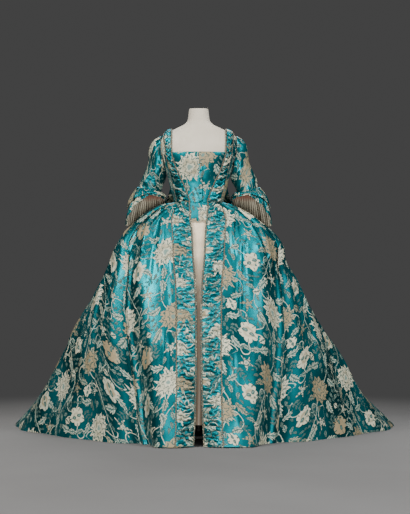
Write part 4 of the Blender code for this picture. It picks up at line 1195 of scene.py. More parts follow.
class Shader:
    """A material's node tree with its principled shader."""

    def __init__(self, name):
        self.material = bpy.data.materials.new(name)
        self.material.use_nodes = True
        self.tree = self.material.node_tree
        self.surface = self.tree.nodes["Principled BSDF"]

    def node(self, kind, vector=None, **inputs):
        """A new node with its vector linked and these inputs set."""
        node = self.tree.nodes.new("ShaderNode" + kind)
        if vector is not None:
            self.tree.links.new(vector, node.inputs["Vector"])
        for name, value in inputs.items():
            node.inputs[name].default_value = value
        return node

    def parts(self, vector):
        return [Value(self.tree, socket) for socket in self.node("SeparateXYZ", vector).outputs]

    def attribute(self, name):
        node = self.node("Attribute")
        node.attribute_name = name
        return self.parts(node.outputs["Vector"])

    def cloth_uv(self):
        node = self.node("UVMap")
        node.uv_map = "cloth_metres"
        return node.outputs[0]

    def place(self):
        return self.node("TexCoord").outputs["Object"]

    def height(self):
        return self.parts(self.place())[2]

    def hollow(self):
        """0 in the bottom of a fold or gather and 1 elsewhere."""
        return Value(self.tree, self.node("NewGeometry").outputs["Pointiness"]).ramp(*HOLLOW_POINTINESS)

    def noise(self, vector, scale, detail=2.0, stretch=(1, 1, 1)):
        """Noise from 0 to 1, with scale waves to a metre before its axes are stretched."""
        mapped = self.node("Mapping", vector, Scale=stretch).outputs[0]
        return Value(self.tree, self.node("TexNoise", mapped, Scale=scale, Detail=detail).outputs["Fac"])

    def swing(self, vector, scale, **how):
        """Noise from -0.5 to 0.5."""
        return self.noise(vector, scale, **how) - 0.5

    def stripes(self, vector, pitch, axis, distortion=0.0):
        """0 to 1 to 0 over each pitch."""
        node = self.node("TexWave", vector, Scale=1 / pitch / WAVE_UNIT * math.pi * 2, Distortion=distortion)
        node.bands_direction = axis
        return Value(self.tree, node.outputs["Fac"])

    def fill(self, socket, value):
        """Links a value, or sets a number or colour."""
        if isinstance(value, (Value, bpy.types.NodeSocket)):
            self.tree.links.new(getattr(value, "socket", value), socket)
        else:
            socket.default_value = (*value, 1) if isinstance(value, tuple) else value

    def colour(self, amount, a, b):
        """Colour a where amount is 0 and b where it is 1."""
        node = self.node("Mix")
        node.data_type = "RGBA"
        for socket, value in zip((node.inputs["Factor"], node.inputs[6], node.inputs[7]), (amount, a, b)):
            self.fill(socket, value)
        return node.outputs[2]

    def finish(self, colour, roughness, relief=None, depth=0.0, strength=1.0, **others):
        """Feeds the surface and gives the material. The names of the others have _ for a space."""
        for name, value in {"Base Color": colour, "Roughness": roughness, **others}.items():
            self.fill(self.surface.inputs[name.replace("_", " ")], value)
        if relief:
            node = self.node("Bump", Distance=depth, Strength=strength)
            self.fill(node.inputs["Height"], relief)
            self.tree.links.new(node.outputs[0], self.surface.inputs["Normal"])
        return self.material


TEAL_DEEP = (0.0004, 0.072, 0.082)
TEAL_BRIGHT = (0.0005, 0.222, 0.256)
IVORY = (0.425, 0.480, 0.370)
CREAM = (0.620, 0.575, 0.410)
TAN = (0.300, 0.232, 0.130)
OUTLINE = (0.012, 0.070, 0.068)
EYE = (0.060, 0.180, 0.172)
SHADOW = (0.0010, 0.030, 0.034)
SATIN_TINT = (0.10, 0.85, 1.0)
THREAD_TINT = (1.0, 0.97, 0.90)
HOLLOW_POINTINESS = (0.445, 0.499)
MM = 0.001
# How far outlines wander, in shares of a motif's size, and stalks and threads, in millimetres
MOTIF_WANDER = 0.42
STALK_WANDER_MM = 14
THREAD_WANDER_MM = 2.4
# Distances inside an outline, or from a line, over which threads, a figure's shadow and its lines come in
FIGURE_EDGE = (-0.1 * MM, 0.9 * MM)
SHADOW_EDGE = (-2.3 * MM, -1.0 * MM)
LINE_EDGE = (2.9 * MM, 1.4 * MM)
STEM_EDGE = (2.2 * MM, 1.4 * MM)
VEIN_FINER = 0.3 * MM
NO_FIGURE = -0.01
# Heights over which the threads are drawn in, and how far, as painted sheen washing over their thin parts
# higher up
SHEEN_THINNING_HEIGHTS = (0.48, 0.72)
SHEEN_THINNING_BY = 1.3 * MM
# Height where the petticoat's painted shade starts
PAINTED_SHADE_TOP_Z = 0.95
CUFF_LINING_Z = 1.092
CUFF_LINING = (0.200, 0.066, 0.036)
# Height where the petticoat's painted shade is full
PAINTED_SHADE_LOW_Z = 0.60
RIB_PITCH = 0.0012
FACING_PLEAT_PITCH = 0.0170
FLOSS_PITCH = 0.0042
# Two tones each, between which a cloth's patches and threads vary, and on the facing also its pleats' painted
# shade and light
LINING = (0.050, 0.016, 0.010), (0.110, 0.040, 0.024)
FACING_PLEAT_SHADE_AND_LIGHT = (0.095, 0.075, 0.046), (0.54, 0.49, 0.36)
CREAM_SILK = (0.66, 0.52, 0.345), (0.84, 0.70, 0.50)
FLOSS = (0.030, 0.024, 0.015), (0.170, 0.135, 0.080)
JERSEY = (0.500, 0.445, 0.352), (0.63, 0.575, 0.462)
STAND_PAINT = (0.030, 0.028, 0.026), (0.085, 0.080, 0.072)
FLOOR = (0.165, 0.162, 0.159), (0.185, 0.182, 0.179)
FLOSS_TEAL = (0.02, 0.14, 0.14)
SILK_IN_SHADE = (0.10, 0.070, 0.048)
BLACK = (0.0, 0.0, 0.0)


# A flower's sizes are shares of its radius. Its lines fade between two of them, by being moved away as far as
# the third number says, in metres.
OUTER_SLITS = (0.74, 0.50, 0.006)
PETAL_SLITS = (0.74, 0.62, 0.005)
MIDDLE_SLITS = (0.56, 0.46, 0.004)
RIM_OF_SLITS = (0.72, 0.80, 0.004)
EYE_FOLDS = (0.70, 0.50, 0.006)
ROUND_PETAL = 0.6
POINTED_PETAL = 1.3
NOTCH_SHARE = 0.5
NOTCHES_A_PETAL = 1.5
MIDDLE_RING = {"turn": 1.1, "rim": 0.70, "depth": 0.20}
HEART_RING = {"turn": 0.4, "rim": 0.40, "depth": 0.14}
EYES_APART = 0.34
EYE_WIDTH = 0.20
EYE_HEIGHT = 0.13
EYE_LINE = 0.14
HEART_EDGE = (0.17, 0.11)
SLIT_CUT = 1.4
SLIT_WIDTH = 0.5 * MM
QUARTER_TURN = 1.5708
LEAF_BEND = 0.22
LEAF_ROUNDNESS = 0.70
LEAF_HALF_WIDTH = 0.46
LEAF_STEM_END = 1.25
LEAF_TAPER = 0.70
LEAF_TEETH = 4.6
LEAF_NOTCH = 0.62
VEIN_SLANT = 0.8
VEIN_REACH = 0.35
MIDRIB = 0.8
VEIN_FADE = (0.08, 0.0, 0.003)


def petal_ring(angle, count, pointed, turn, rim, depth):
    """The outline's radius of a ring of round or pointed petals."""
    swing = angle * count * 0.5 + turn
    round_petal = 1 - abs(swing.cosine()) ** ROUND_PETAL
    return rim - depth * pointed.blend(round_petal, abs(swing.sine()) ** POINTED_PETAL)


def flower(x, y, size, petals, notch, eyes):
    """Threads' signed distance inside a flower, how far its inner lines show, its eyes and its radius."""

    def faded(start, end, metres):
        return radius.ramp(start, end) * metres

    across = (x * x + y * y).root()
    radius = across / size
    angle = y.angle_to(x)
    pointed = 1 - eyes
    outer = petal_ring(angle, petals, pointed, turn=0.0, rim=1.0, depth=notch)
    outer = outer - pointed * NOTCH_SHARE * notch * abs((angle * petals * NOTCHES_A_PETAL + 0.7).sine())
    inside = (outer - radius) * size
    middle = petal_ring(angle, (petals * 0.7).rounded(), pointed, **MIDDLE_RING)
    heart = petal_ring(angle, (petals * 0.5).rounded(), pointed, **HEART_RING)
    slits = abs((angle * petals * 0.5).cosine()) * across * 2 / petals
    outer_slit = slits + faded(*OUTER_SLITS)
    rings = abs(radius - middle).least(abs(radius - heart)) * size
    middles = abs((angle * petals * 0.5).sine()) * across * 2 / petals
    layered = rings.least(slits + faded(*PETAL_SLITS))
    layered = layered.least(middles + faded(*MIDDLE_SLITS) + faded(*RIM_OF_SLITS))
    left = (x + size * EYES_APART) / (size * EYE_WIDTH)
    right = (x - size * EYES_APART) / (size * EYE_WIDTH)
    tall = y / (size * EYE_HEIGHT)
    eye = ((left * left).least(right * right) + tall * tall).root()
    eye_line = abs(eye - 1) * size * EYE_LINE
    folds = abs((angle * petals * 0.5 + QUARTER_TURN).cosine()) * across * 2 / petals
    line = eyes.blend(layered, eye_line.least(folds + faded(*EYE_FOLDS)))
    centre = (eye.ramp(1.0, 0.9) * eyes).most(radius.ramp(*HEART_EDGE) * pointed)
    return inside.least(outer_slit * SLIT_CUT - SLIT_WIDTH), line, centre, radius


def leaf(x, y, size):
    """Threads' signed distance inside a jagged leaf, and the distance to its veins."""
    bent = y + x * x / size * LEAF_BEND
    along = (x / size * 0.5 + 0.5).least(0.999).most(0.001)
    half = (along * math.pi).sine() ** LEAF_ROUNDNESS * (LEAF_STEM_END - along * LEAF_TAPER) * LEAF_HALF_WIDTH
    half = half * (LEAF_NOTCH + (along * LEAF_TEETH + 0.25).fraction() * LEAF_NOTCH)
    beside = abs(bent) / size
    veins = abs(((along - beside * VEIN_SLANT) * LEAF_TEETH).fraction() - 0.5) * size * VEIN_REACH
    start, end, metres = VEIN_FADE
    return (half - beside) * size, (beside * size * MIDRIB).least(veins + beside.ramp(start, end) * metres)


def brocade(name):
    """Turquoise satin brocaded with ivory and tan flowers."""
    shader = Shader(name)
    x, y, size = shader.attribute("motif_place")
    petals, notch, kind = shader.attribute("motif_shape")
    tan, eyes, stalk = shader.attribute("motif_tone")
    uv = shader.cloth_uv()
    petals = petals.most(3.0)
    x = x + shader.swing(uv, 34) * size * MOTIF_WANDER
    y = y + shader.swing(uv, 37, stretch=(1.1, 0.9, 1)) * size * MOTIF_WANDER
    stalk = stalk + shader.swing(uv, 22) * STALK_WANDER_MM * MM
    flower_in, flower_line, centre, radius = flower(x, y, size, petals, notch, eyes)
    leaf_in, leaf_line = leaf(x, y, size)
    is_leaf, drawn = kind.over((FLOWER + LEAF) / 2), kind.over(FLOWER / 2)
    rough_edge = shader.swing(uv, 420, detail=1.0) * THREAD_WANDER_MM * MM
    # Painted sheen: higher up the threads and stems are drawn in, as if the satin's sheen washed over their
    # thin parts
    sheen_thinning = shader.height().ramp(*SHEEN_THINNING_HEIGHTS) * SHEEN_THINNING_BY
    inside = is_leaf.blend(flower_in, leaf_in) * drawn + (1 - drawn) * NO_FIGURE - sheen_thinning
    figure = (inside + rough_edge).ramp(*FIGURE_EDGE)
    shadow = (inside + rough_edge).ramp(*SHADOW_EDGE) * (1 - figure)
    line = is_leaf.blend(flower_line, leaf_line + VEIN_FINER)
    line = (line + rough_edge * 0.5).ramp(*LINE_EDGE) * figure
    stem = (abs(stalk) + rough_edge * 0.6 + sheen_thinning * 0.7).ramp(*STEM_EDGE)
    threads = figure.most(stem)
    floats = shader.noise(uv, 700, stretch=(0.35, 1.6, 1))
    ring = radius.ramp(0.66, 0.40) - radius.ramp(0.30, 0.22) * 0.5
    patches = shader.swing(uv, 9.0) * 0.9
    tone = tan + patches + (ring * 0.45 + 0.02) * drawn * (1 - is_leaf) + is_leaf * 0.12
    tone = tone.ramp(0.15, 0.85) * figure
    flecks = shader.noise(uv, 190, stretch=(0.7, 1.3, 1)).ramp(0.55, 0.70)
    light = IVORY
    for amount, colour in (
        (tone, TAN),
        (drawn * (1 - is_leaf) * (1 - tone) * tan.ramp(0.45, 0.15) * 0.85, CREAM),
        (floats.ramp(0.45, 0.75) * 0.18, OUTLINE),
        (flecks * 0.40 * figure, OUTLINE),
        (centre * figure * 0.75, EYE),
        (line * 0.95, OUTLINE),
    ):
        light = shader.colour(amount, light, colour)
    shimmer = shader.noise(uv, 5.0, detail=3.0, stretch=(1, 0.5, 1)).ramp(0.35, 0.65)
    ground = shader.colour(shadow * 0.75, shader.colour(shimmer, TEAL_DEEP, TEAL_BRIGHT), SHADOW)
    satin = shader.noise(uv, 60.0, stretch=(1, 0.3, 1)) * 0.08 + 0.32
    weave = shader.noise(uv, 1500, detail=1.0, stretch=(1, 0.5, 1))
    return shader.finish(
        shader.colour((1 - shader.hollow()) * 0.85, shader.colour(threads, ground, light), SHADOW),
        threads.blend(satin, 0.58),
        threads * 0.8 + floats * threads * 0.6 + weave * 0.25,
        depth=0.35 * MM,
        strength=0.55,
        Metallic=(1 - threads) * 0.78,
        Specular_IOR_Level=0.35,
        Specular_Tint=shader.colour(threads, SATIN_TINT, THREAD_TINT),
    )


def plain_silk(name, colour, shade, roughness, painted_shade=None):
    """Ribbed silk in two tones. The colour given last is painted shade that it darkens to, from the shade's
    top height down to its low height.
    """
    shader = Shader(name)
    uv = shader.cloth_uv()
    cloud = shader.noise(uv, 9.0, detail=3.0)
    slub = shader.noise(uv, 420, stretch=(0.25, 2.0, 1))
    tone = shader.colour((cloud * 0.6 + slub * 0.5).ramp(0.35, 0.80), colour, shade)
    # Painted shade: the silk darkens towards the bottom, where the gown's narrow opening shades it
    if painted_shade:
        low = (shader.height() + (cloud - 0.5) * 0.2).ramp(PAINTED_SHADE_TOP_Z, PAINTED_SHADE_LOW_Z)
        tone = shader.colour(low * 0.85, tone, painted_shade)
    ribs = shader.noise(uv, 0.5 / RIB_PITCH, detail=1.0, stretch=(0.3, 2.2, 1))
    rough = slub * 0.12 + (roughness - 0.06)
    return shader.finish(tone, rough, ribs + slub * 0.6, depth=0.25 * MM, strength=0.5, Sheen_Weight=0.2)


def pleated_facing():
    """The ruffles' inside: cream silk in fine upright pleats with painted shade and light, lined with
    red-brown near the cuff.
    """
    shader = Shader("ruffle_facing")
    uv = shader.cloth_uv()
    pleats = shader.stripes(uv, FACING_PLEAT_PITCH, "X", 1.2)
    stripes = shader.noise(uv, 120, detail=1.0, stretch=(1, 0.05, 1))
    cloud = shader.noise(uv, 14.0)
    # Mostly the pleats' painted shade in their valleys and painted light on their crests, with streaks and
    # patches of the silk's own tone
    tone = (pleats * 0.70 + stripes * 0.40 + cloud * 0.2).ramp(0.35, 0.95)
    lined = (shader.height() + (cloud - 0.5) * 0.012).ramp(CUFF_LINING_Z - 0.030, CUFF_LINING_Z)
    colour = shader.colour(lined * 0.9, shader.colour(tone, *FACING_PLEAT_SHADE_AND_LIGHT), CUFF_LINING)
    relief = pleats + stripes * 0.4
    return shader.finish(colour, 0.62, relief, depth=1.4 * MM, strength=0.8, Sheen_Weight=0.15)


def braid_silk():
    """Knotted fly braid in tan and brown floss, with a little teal."""
    shader = Shader("fly_braid_silk")
    uv = shader.cloth_uv()
    knots = shader.noise(uv, 330, stretch=(1, 1.6, 1))
    twist = shader.stripes(uv, FLOSS_PITCH, "DIAGONAL", 1.5)
    floss = shader.colour((knots * 0.8 + twist * 0.4).ramp(0.35, 0.85), *FLOSS)
    colour = shader.colour(shader.noise(uv, 75, detail=1.0).ramp(0.62, 0.72) * 0.7, floss, FLOSS_TEAL)
    relief = knots + twist * 0.8
    return shader.finish(colour, 0.6, relief, depth=1.0 * MM, strength=0.8, Sheen_Weight=0.2)


def jersey():
    """Off-white jersey stretched over the form, with knitted ribs and faint shadows of handling."""
    shader = Shader("form_cover")
    place = shader.place()
    ribs = shader.noise(place, 700, detail=1.0, stretch=(1, 1, 0.35))
    cloud = shader.noise(place, 7.0, detail=3.0)
    colour = shader.colour((cloud * 0.8 + ribs * 0.2).ramp(0.30, 0.75), *JERSEY)
    relief = ribs + cloud * 0.2
    return shader.finish(colour, 0.82, relief, depth=0.2 * MM, strength=0.4, Sheen_Weight=0.25)


def dark_metal():
    """Matt dark paint on the stand, worn lighter in faint patches."""
    shader = Shader("stand_paint")
    place = shader.place()
    grain = shader.noise(place, 900.0)
    colour = shader.colour(shader.noise(place, 25.0, detail=4.0).ramp(0.55, 0.75), *STAND_PAINT)
    return shader.finish(colour, grain * 0.2 + 0.35, grain, depth=0.08 * MM, strength=0.3, Metallic=0.7)


BACKGROUND = (0.062, 0.062, 0.062)
POOL_Y = -0.9
POOL_START = 1.5
POOL_END = 3.2


def studio_floor():
    """Pale matt floor that melts into the background's grey away from the gown."""
    shader = Shader("studio_floor")
    place = shader.place()
    x, y, _ = shader.parts(place)
    y = y - POOL_Y
    away = (x * x + y * y).root().ramp(POOL_START, POOL_END)
    tone = (shader.noise(place, 1.2, detail=3.0) * 0.7 + shader.noise(place, 260.0) * 0.3).ramp(0.3, 0.7)
    colour = shader.colour(away, shader.colour(tone, *FLOOR), BLACK)
    glow = {"Emission_Color": BACKGROUND, "Emission_Strength": away}
    return shader.finish(colour, 0.9, Specular_IOR_Level=0.0, **glow)


MATERIALS = {
    "brocade": brocade("brocade"),
    "sleeve_lining": plain_silk("sleeve_lining", *LINING, 0.7),
    "facing": pleated_facing(),
    # The petticoat's silk darkens downwards with painted shade
    "petticoat": plain_silk("petticoat_silk_cloth", *CREAM_SILK, 0.48, painted_shade=SILK_IN_SHADE),
    "braid": braid_silk(),
    "jersey": jersey(),
    "metal": dark_metal(),
    "floor": studio_floor(),
}


# Skirt, train and their trimming

ROW_STEP = 0.0050
SEAM_TUCK = 0.0013
SEAM_TUCK_WIDTH = 0.006
FLOOR_GAP = 0.0006
EDGE_SHARE = 0.0004
# The share of a pleat's height that lies below the cloth's middle surface
PLEAT_MIDDLE = 0.4
KNIFE_PLEAT_HEIGHT = 0.0045
KNIFE_PLEAT_SHARPNESS = 1.5
KNIFE_PLEAT_FOOT_Z = 0.945
KNIFE_PLEAT_TOP_Z = 1.062
KNIFE_PLEAT_FADE = 0.08
KNIFE_PLEAT_TOP_FADE = 0.012
# How far the pleats' feet wander up and down, and over what width. The pleats wander sideways, in shares of
# their pitch.
KNIFE_FOOT_WANDER = 0.02
KNIFE_FOOT_WAVE = 0.03
KNIFE_WANDER = 0.15
KNIFE_WANDER_WIDTH = 0.04
KNIFE_WANDER_LENGTH = 0.05
NECK_PLEAT_PITCH = 0.032
NECK_PLEAT_HEIGHT = 0.0085
NECK_PLEAT_SHARPNESS = 0.6
NECK_PLEAT_FOOT_Z = 0.98
NECK_PLEAT_FADE = 0.35
PANEL_TOP_FADE = 0.02
# The front's robing keeps its edge flat as far as this, and the creases grow from there over the width
FLAT_EDGE = 0.088
FLAT_EDGE_FADE = 0.030
STRIP_ROW_STEP = 0.0021
SKIRT_BRAID_EDGE = 0.001
WAIST_TRIM_FOOT_Z = 1.040
ROBING_WIDENING = 0.10
ROBING_INNER_GAP = 0.002
BRAID_ROW_STEP = 0.0023
FRONT_TRIM_COLUMNS = 90
# The heights between which each robing and braid lies
SKIRT_ROBING_ENDS = (WAIST_Z - 0.004, 0.0035)
SKIRT_BRAID_ENDS = (WAIST_Z - 0.003, 0.0030)
BODICE_TRIM_FOOT_Z = WAIST_Z + 0.004


def seam_tuck(across, first, last):
    """The cloth draws in beside a sewn seam at its first or last column."""
    height = np.zeros(across.shape)
    if first:
        height -= SEAM_TUCK * smooth(1 - across / SEAM_TUCK_WIDTH)
    if last:
        height -= SEAM_TUCK * smooth(1 - (across[:, -1:] - across) / SEAM_TUCK_WIDTH)
    return height


def knife_pleats(across, z, pitch, seed):
    """Pleats pressed one way where the skirt is set into the waist."""
    foot_z = KNIFE_PLEAT_FOOT_Z - KNIFE_FOOT_WANDER * noise(across / KNIFE_FOOT_WAVE, 0 * z, seed)
    kept = smooth((z - foot_z) / KNIFE_PLEAT_FADE) * smooth((KNIFE_PLEAT_TOP_Z - z) / KNIFE_PLEAT_TOP_FADE)
    wander = KNIFE_WANDER * noise(across / KNIFE_WANDER_WIDTH, z / KNIFE_WANDER_LENGTH, seed + 1)
    saw = (across / pitch + wander) % 1
    return KNIFE_PLEAT_HEIGHT * kept * (saw**KNIFE_PLEAT_SHARPNESS - PLEAT_MIDDLE)


def neck_pleats(across, z):
    """The sack back's pleats, set down at the neck."""
    pleat = np.abs(((across / NECK_PLEAT_PITCH) % 1) - 0.5) * 2
    kept = smooth((z - NECK_PLEAT_FOOT_Z) / NECK_PLEAT_FADE) * smooth((SACK_TOP_Z - z) / PANEL_TOP_FADE)
    return NECK_PLEAT_HEIGHT * kept * (pleat**NECK_PLEAT_SHARPNESS - PLEAT_MIDDLE)


# How each panel is cut. tucks says whether it is seamed at its first and last column.
PANELS = {
    row["panel"]: row
    for row in named(
        "panel kind columns seed crumple_high crumple_low pleat_pitch tucks held rests_on",
        ("front", "skirt_front", 132, 11, 0.006, 0.0016, 0.021, (0, 1), "gathered", "petticoat_cloth"),
        ("side", "skirt_side", 136, 31, 0.006, 0.0020, 0.023, (1, 1), "gathered", "petticoat_cloth"),
        ("sack", "sack_back", 110, 51, 0.0034, 0.0016, None, (1, 0), "hung", "form_torso_cover"),
    )
}


def build_panel(side, panel):
    """A skirt panel, or half the sack back with its part of the train."""
    cut, sign = PANELS[panel], side["sign"]
    is_sack = panel == "sack"
    facing = -1 if is_sack else 1
    z = even(SACK_TOP_Z if is_sack else WAIST_Z - SEAM_GAP, 0.0, ROW_STEP)[:, None]
    u, rows = np.broadcast_arrays(np.linspace(EDGE_SHARE, 1 - EDGE_SHARE, cut["columns"]), z)
    if is_sack:
        grid = sack_panel(side, u, rows)
        grid[:, 0, 0] = sign * HALF_SEAM
    else:
        grid = skirt_panel(side, panel, u, rows)
    across, _ = lengths(grid)
    height = crease_height(panel, side, across, z)
    height += crumple(across, z, cut["seed"] + sign, cut["crumple_high"], cut["crumple_low"])
    if is_sack:
        height += neck_pleats(across, z)
    else:
        height += knife_pleats(across, z, cut["pleat_pitch"], cut["seed"] + 10 + sign)
    if panel == "front":
        height *= smooth((across - FLAT_EDGE) / FLAT_EDGE_FADE)
    height += seam_tuck(across, *cut["tucks"])
    if not is_sack:
        height *= smooth((WAIST_Z - z) / PANEL_TOP_FADE)
    grid = moved_out(grid, height, sign * facing)
    grid[..., 2] = np.clip(grid[..., 2], FLOOR_GAP, None if is_sack else WAIST_Z - SEAM_GAP)
    flat = lengths(grid)
    hemmed = with_hem(grid, *flat, sign * facing)
    sew(cut["kind"], side, *hemmed, cut["held"], [cut["rests_on"]], flat, facing)


def strip_places(grid_at, distances):
    """Points of a surface at distances from its first edge, for each row."""
    found = []
    for row, distance in zip(grid_at, distances):
        run = run_lengths(row)
        found.append(np.stack([np.interp(distance, run, row[:, k]) for k in range(3)], axis=-1))
    return np.array(found)


def gathers(across, along, seed):
    """Height of a ruched strip and its cloth's length, at shares across its width and metres along it."""

    def layers(rows):
        found = (tall * noise(across * waves, along / long, seed + step) for tall, waves, long, step in rows)
        return sum(found)

    split = 0.5 + layers(GATHER_SPLIT)
    phase = along / GATHER_PITCH + layers(GATHER_WANDER) + 0.5 * smooth((across - split) / GATHER_SPLIT_FADE)
    cell = np.floor(phase)
    size = PUFF_SIZE + PUFF_SIZE_CHANGE * noise(cell * 0.9 + 0.5, across * 1.5, seed + 2)
    puff = np.abs(np.sin(math.pi * phase)) ** PUFF_ROUNDNESS * size
    crown = np.sin(math.pi * np.clip(across, 0, 1)) ** PUFF_CROWN
    edge = smooth((np.abs(across - 0.5) - ROBING_EDGE_START) / ROBING_EDGE_FADE)
    height = PUFF_EDGE + crown * (mix(PUFF_VALLEY, PUFF_TOP, puff) - PUFF_EDGE)
    height = height + layers(GATHER_CREASES) * crown
    height = height + EDGE_PUCKER * np.abs(np.sin(2 * math.pi * along / EDGE_STITCH_PITCH)) * edge
    return height, (cell * GATHER_FULLNESS + (phase - cell) * GATHER_SHOWN) * GATHER_PITCH


def build_strip(kind, side, base_at, start, widths, seed):
    """A ruched robing on the rows of a surface, from start as far as widths."""
    share = np.linspace(0, 1, ROBING_COLUMNS)[None, :]
    base = strip_places(base_at, start + widths[:, None] * share)
    along = run_lengths(base[:, ROBING_LENGTH_COLUMN])[:, None]
    height, cloth_along = gathers(share, along, seed + side["sign"])
    grid = base + outward(base, side["sign"]) * height[..., None]
    across = np.broadcast_to(widths[:, None] * share, grid.shape[:2])
    flat = across, np.broadcast_to(along * GATHER_FULLNESS, grid.shape[:2])
    sew(kind, side, grid, across, cloth_along, "gathered", flat=flat, area_share=ROBING_AREA_SHARE)


def build_braid(kind, side, base_at, start, seed):
    """Knotted fly braid along a surface."""
    share = np.linspace(0, 1, BRAID_COLUMNS)[None, :]
    along = run_lengths(base_at[:, 0])
    sway = BRAID_SWAY * np.sin(2 * math.pi * along / BRAID_SWAY_PITCH)
    sway = sway + BRAID_JITTER * noise(along / BRAID_JITTER_WAVE, 0 * along, seed)
    wander = KNOT_WANDER * noise(along / KNOT_WANDER_WAVE, 0 * along, seed + 1)
    knot = np.abs(np.sin(math.pi * along / KNOT_PITCH + wander))
    wide = BRAID_WIDTH * (BRAID_NARROWEST + (1 - BRAID_NARROWEST) * knot)
    left = start + BRAID_WIDTH / 2 + sway - wide / 2
    places = strip_places(base_at, np.maximum(left, 0)[:, None] + wide[:, None] * share)
    crown = np.sqrt(np.maximum(1 - (2 * share - 1) ** 2, 0))
    tall = BRAID_LOWEST + KNOT_HEIGHT_SHARE * knot[:, None]
    thickness = (BRAID_HEIGHT + BRAID_EXTRA_HEIGHT) * crown * tall
    height = TRIM_LIFT * BRAID_SEAT_SHARE + thickness
    grid = places + outward(places, side["sign"]) * height[..., None]
    across = np.broadcast_to(BRAID_WIDTH * share, grid.shape[:2])
    down = np.broadcast_to(along[:, None], grid.shape[:2])
    name = f"{kind}_{side['name']}"
    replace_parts(cloth(name + "_floss", grid, side["sign"], across, down, "fly_braid", ["braid"]), name)


def build_trimming(garment, side, rows_at, width_at, edge, robing_ends, braid_ends, seeds):
    """A robing along a surface's edge and the braid down both of its sides, between two heights each."""
    start = edge + BRAID_WIDTH + TRIM_GAP
    rises = even(*robing_ends, STRIP_ROW_STEP)
    build_strip(f"{garment}_robing", side, rows_at(rises), start, width_at(rises), seeds[0])
    rises = even(*braid_ends, BRAID_ROW_STEP)
    rows = rows_at(rises)
    build_braid(f"{garment}_braid_inner", side, rows, edge, seeds[1])
    build_braid(f"{garment}_braid_outer", side, rows, start + width_at(rises) + TRIM_GAP, seeds[2])


def build_skirt_trimming(side):
    u = np.linspace(0.0, FRONT_TRIM_SHARE, FRONT_TRIM_COLUMNS)[None, :]

    def rows_at(z):
        grid = skirt_panel(side, "front", *np.broadcast_arrays(u, z[:, None]))
        top = np.clip((z - WAIST_TRIM_FOOT_Z) / (WAIST_Z - WAIST_TRIM_FOOT_Z), 0, 1)
        lift = np.broadcast_to((WAIST_TRIM_LIFT * top)[:, None], grid.shape[:2])
        return moved_out(grid, lift, side["sign"])

    def width_at(z):
        return mix(WAIST_ROBING_WIDTH, SKIRT_ROBING_WIDTH, smooth((WAIST_Z - z) / ROBING_WIDENING))

    ends = SKIRT_ROBING_ENDS, SKIRT_BRAID_ENDS
    build_trimming("skirt", side, rows_at, width_at, SKIRT_BRAID_EDGE, *ends, seeds=(61, 71, 72))


# Bodice


def bodice_rows(rises, first, last, lift, sign, columns):
    """Rows on the form: level ones up to the armhole's middle, and turned over the shoulder above it."""
    share = np.linspace(0, 1, columns)[None, :]
    level = rises <= ARMHOLE_MIDDLE_Z
    grid = np.zeros((len(rises), columns, 3))
    value = first[:, None] + (last - first)[:, None] * share
    grid[level] = round_form(sign, value[level], rises[level][:, None], lift)
    grid[~level] = over_shoulder(sign, value[~level], rise_turn(rises[~level])[:, None], lift)
    return grid


def turn_rise(turn):
    return ARMHOLE_MIDDLE_Z + np.radians(turn) * TURN_RADIUS


def build_bodice(side):
    """The bodice's front and side back, from the waist to the shoulder."""
    sign = side["sign"]
    armpit = ARMHOLE_MIDDLE_Z - ARMHOLE_DEPTH + 1e-6
    seam = math.degrees(HALF_SEAM / WAIST_RADIUS)
    levels = even(BODICE_FOOT_Z, ARMHOLE_MIDDLE_Z, BODICE_ROW_STEP)
    for kind, behind, start_turn, seam_turn in (
        ("bodice_front", False, BODICE_TURN_STEP_DEG, SHOULDER_SEAM_TURN - SHOULDER_SEAM_GAP_DEG),
        ("bodice_side_back", True, SIDE_BACK_END_TURN, SHOULDER_SEAM_TURN + SHOULDER_SEAM_GAP_DEG),
    ):
        rises = np.concatenate([levels, turn_rise(even(start_turn, seam_turn, BODICE_TURN_STEP_DEG))])
        level = rises <= ARMHOLE_MIDDLE_Z
        z, turn = np.minimum(rises, ARMHOLE_MIDDLE_Z), rise_turn(np.maximum(rises, ARMHOLE_MIDDLE_Z))
        side_seam = SIDE_SEAM_DEG + (seam if behind else -seam)
        edge = np.where(z <= armpit, side_seam, armhole_degrees(np.maximum(z, armpit), behind))
        last = np.where(level, edge, armhole_x(turn))
        if behind:
            first = np.where(level, SIDE_BACK_DEG, STRAP_BACK_X)
        else:
            start = section_degrees(compere_edge(z) + UNDER_GAP, TORSO.at(z, "half_width"), TORSO_POWER)
            first = np.where(level, start, ROBING.at(rises, "inner_x") + ROBING_INNER_GAP)
        grid = bodice_rows(rises, first, last, BODICE_LIFT, sign, BODICE_COLUMNS)[::-1]
        facing = -1 if behind else 1
        across, down = lengths(grid)
        wrinkles = noise(across / BODICE_WRINKLE_WIDTH, grid[..., 2] / BODICE_WRINKLE_LENGTH, 81 + sign)
        height = BODICE_WRINKLE * wrinkles * smooth((across[:, -1:] - across) / BODICE_WRINKLE_FADE)
        height = height + seam_tuck(across, False, True) * BODICE_TUCK_SHARE
        grid = moved_out(grid, height, sign * facing)
        sew(kind, side, grid, across, down, "stretched", ["form_torso_cover"], facing=facing)


def build_bodice_trimming(side):
    def rows_at(rises):
        inner_x = ROBING.at(rises, "inner_x")
        half_width = TORSO.at(np.minimum(rises, ARMHOLE_MIDDLE_Z), "half_width")
        level = rises <= ARMHOLE_MIDDLE_Z
        first = np.where(level, section_degrees(inner_x, half_width, TORSO_POWER), inner_x)
        last = np.where(level, BODICE_TRIM_REACH_DEG, BODICE_TRIM_REACH_X)
        lift = BODICE_LIFT + BODICE_TRIM_LIFT
        return bodice_rows(rises, first, last, lift, side["sign"], BODICE_TRIM_COLUMNS)

    def width_at(rises):
        return ROBING.at(rises, "width")

    ends = turn_rise(ROBING_END_TURN), BODICE_TRIM_FOOT_Z
    build_trimming("bodice", side, rows_at, width_at, 0.0, ends, ends, seeds=(91, 95, 96))


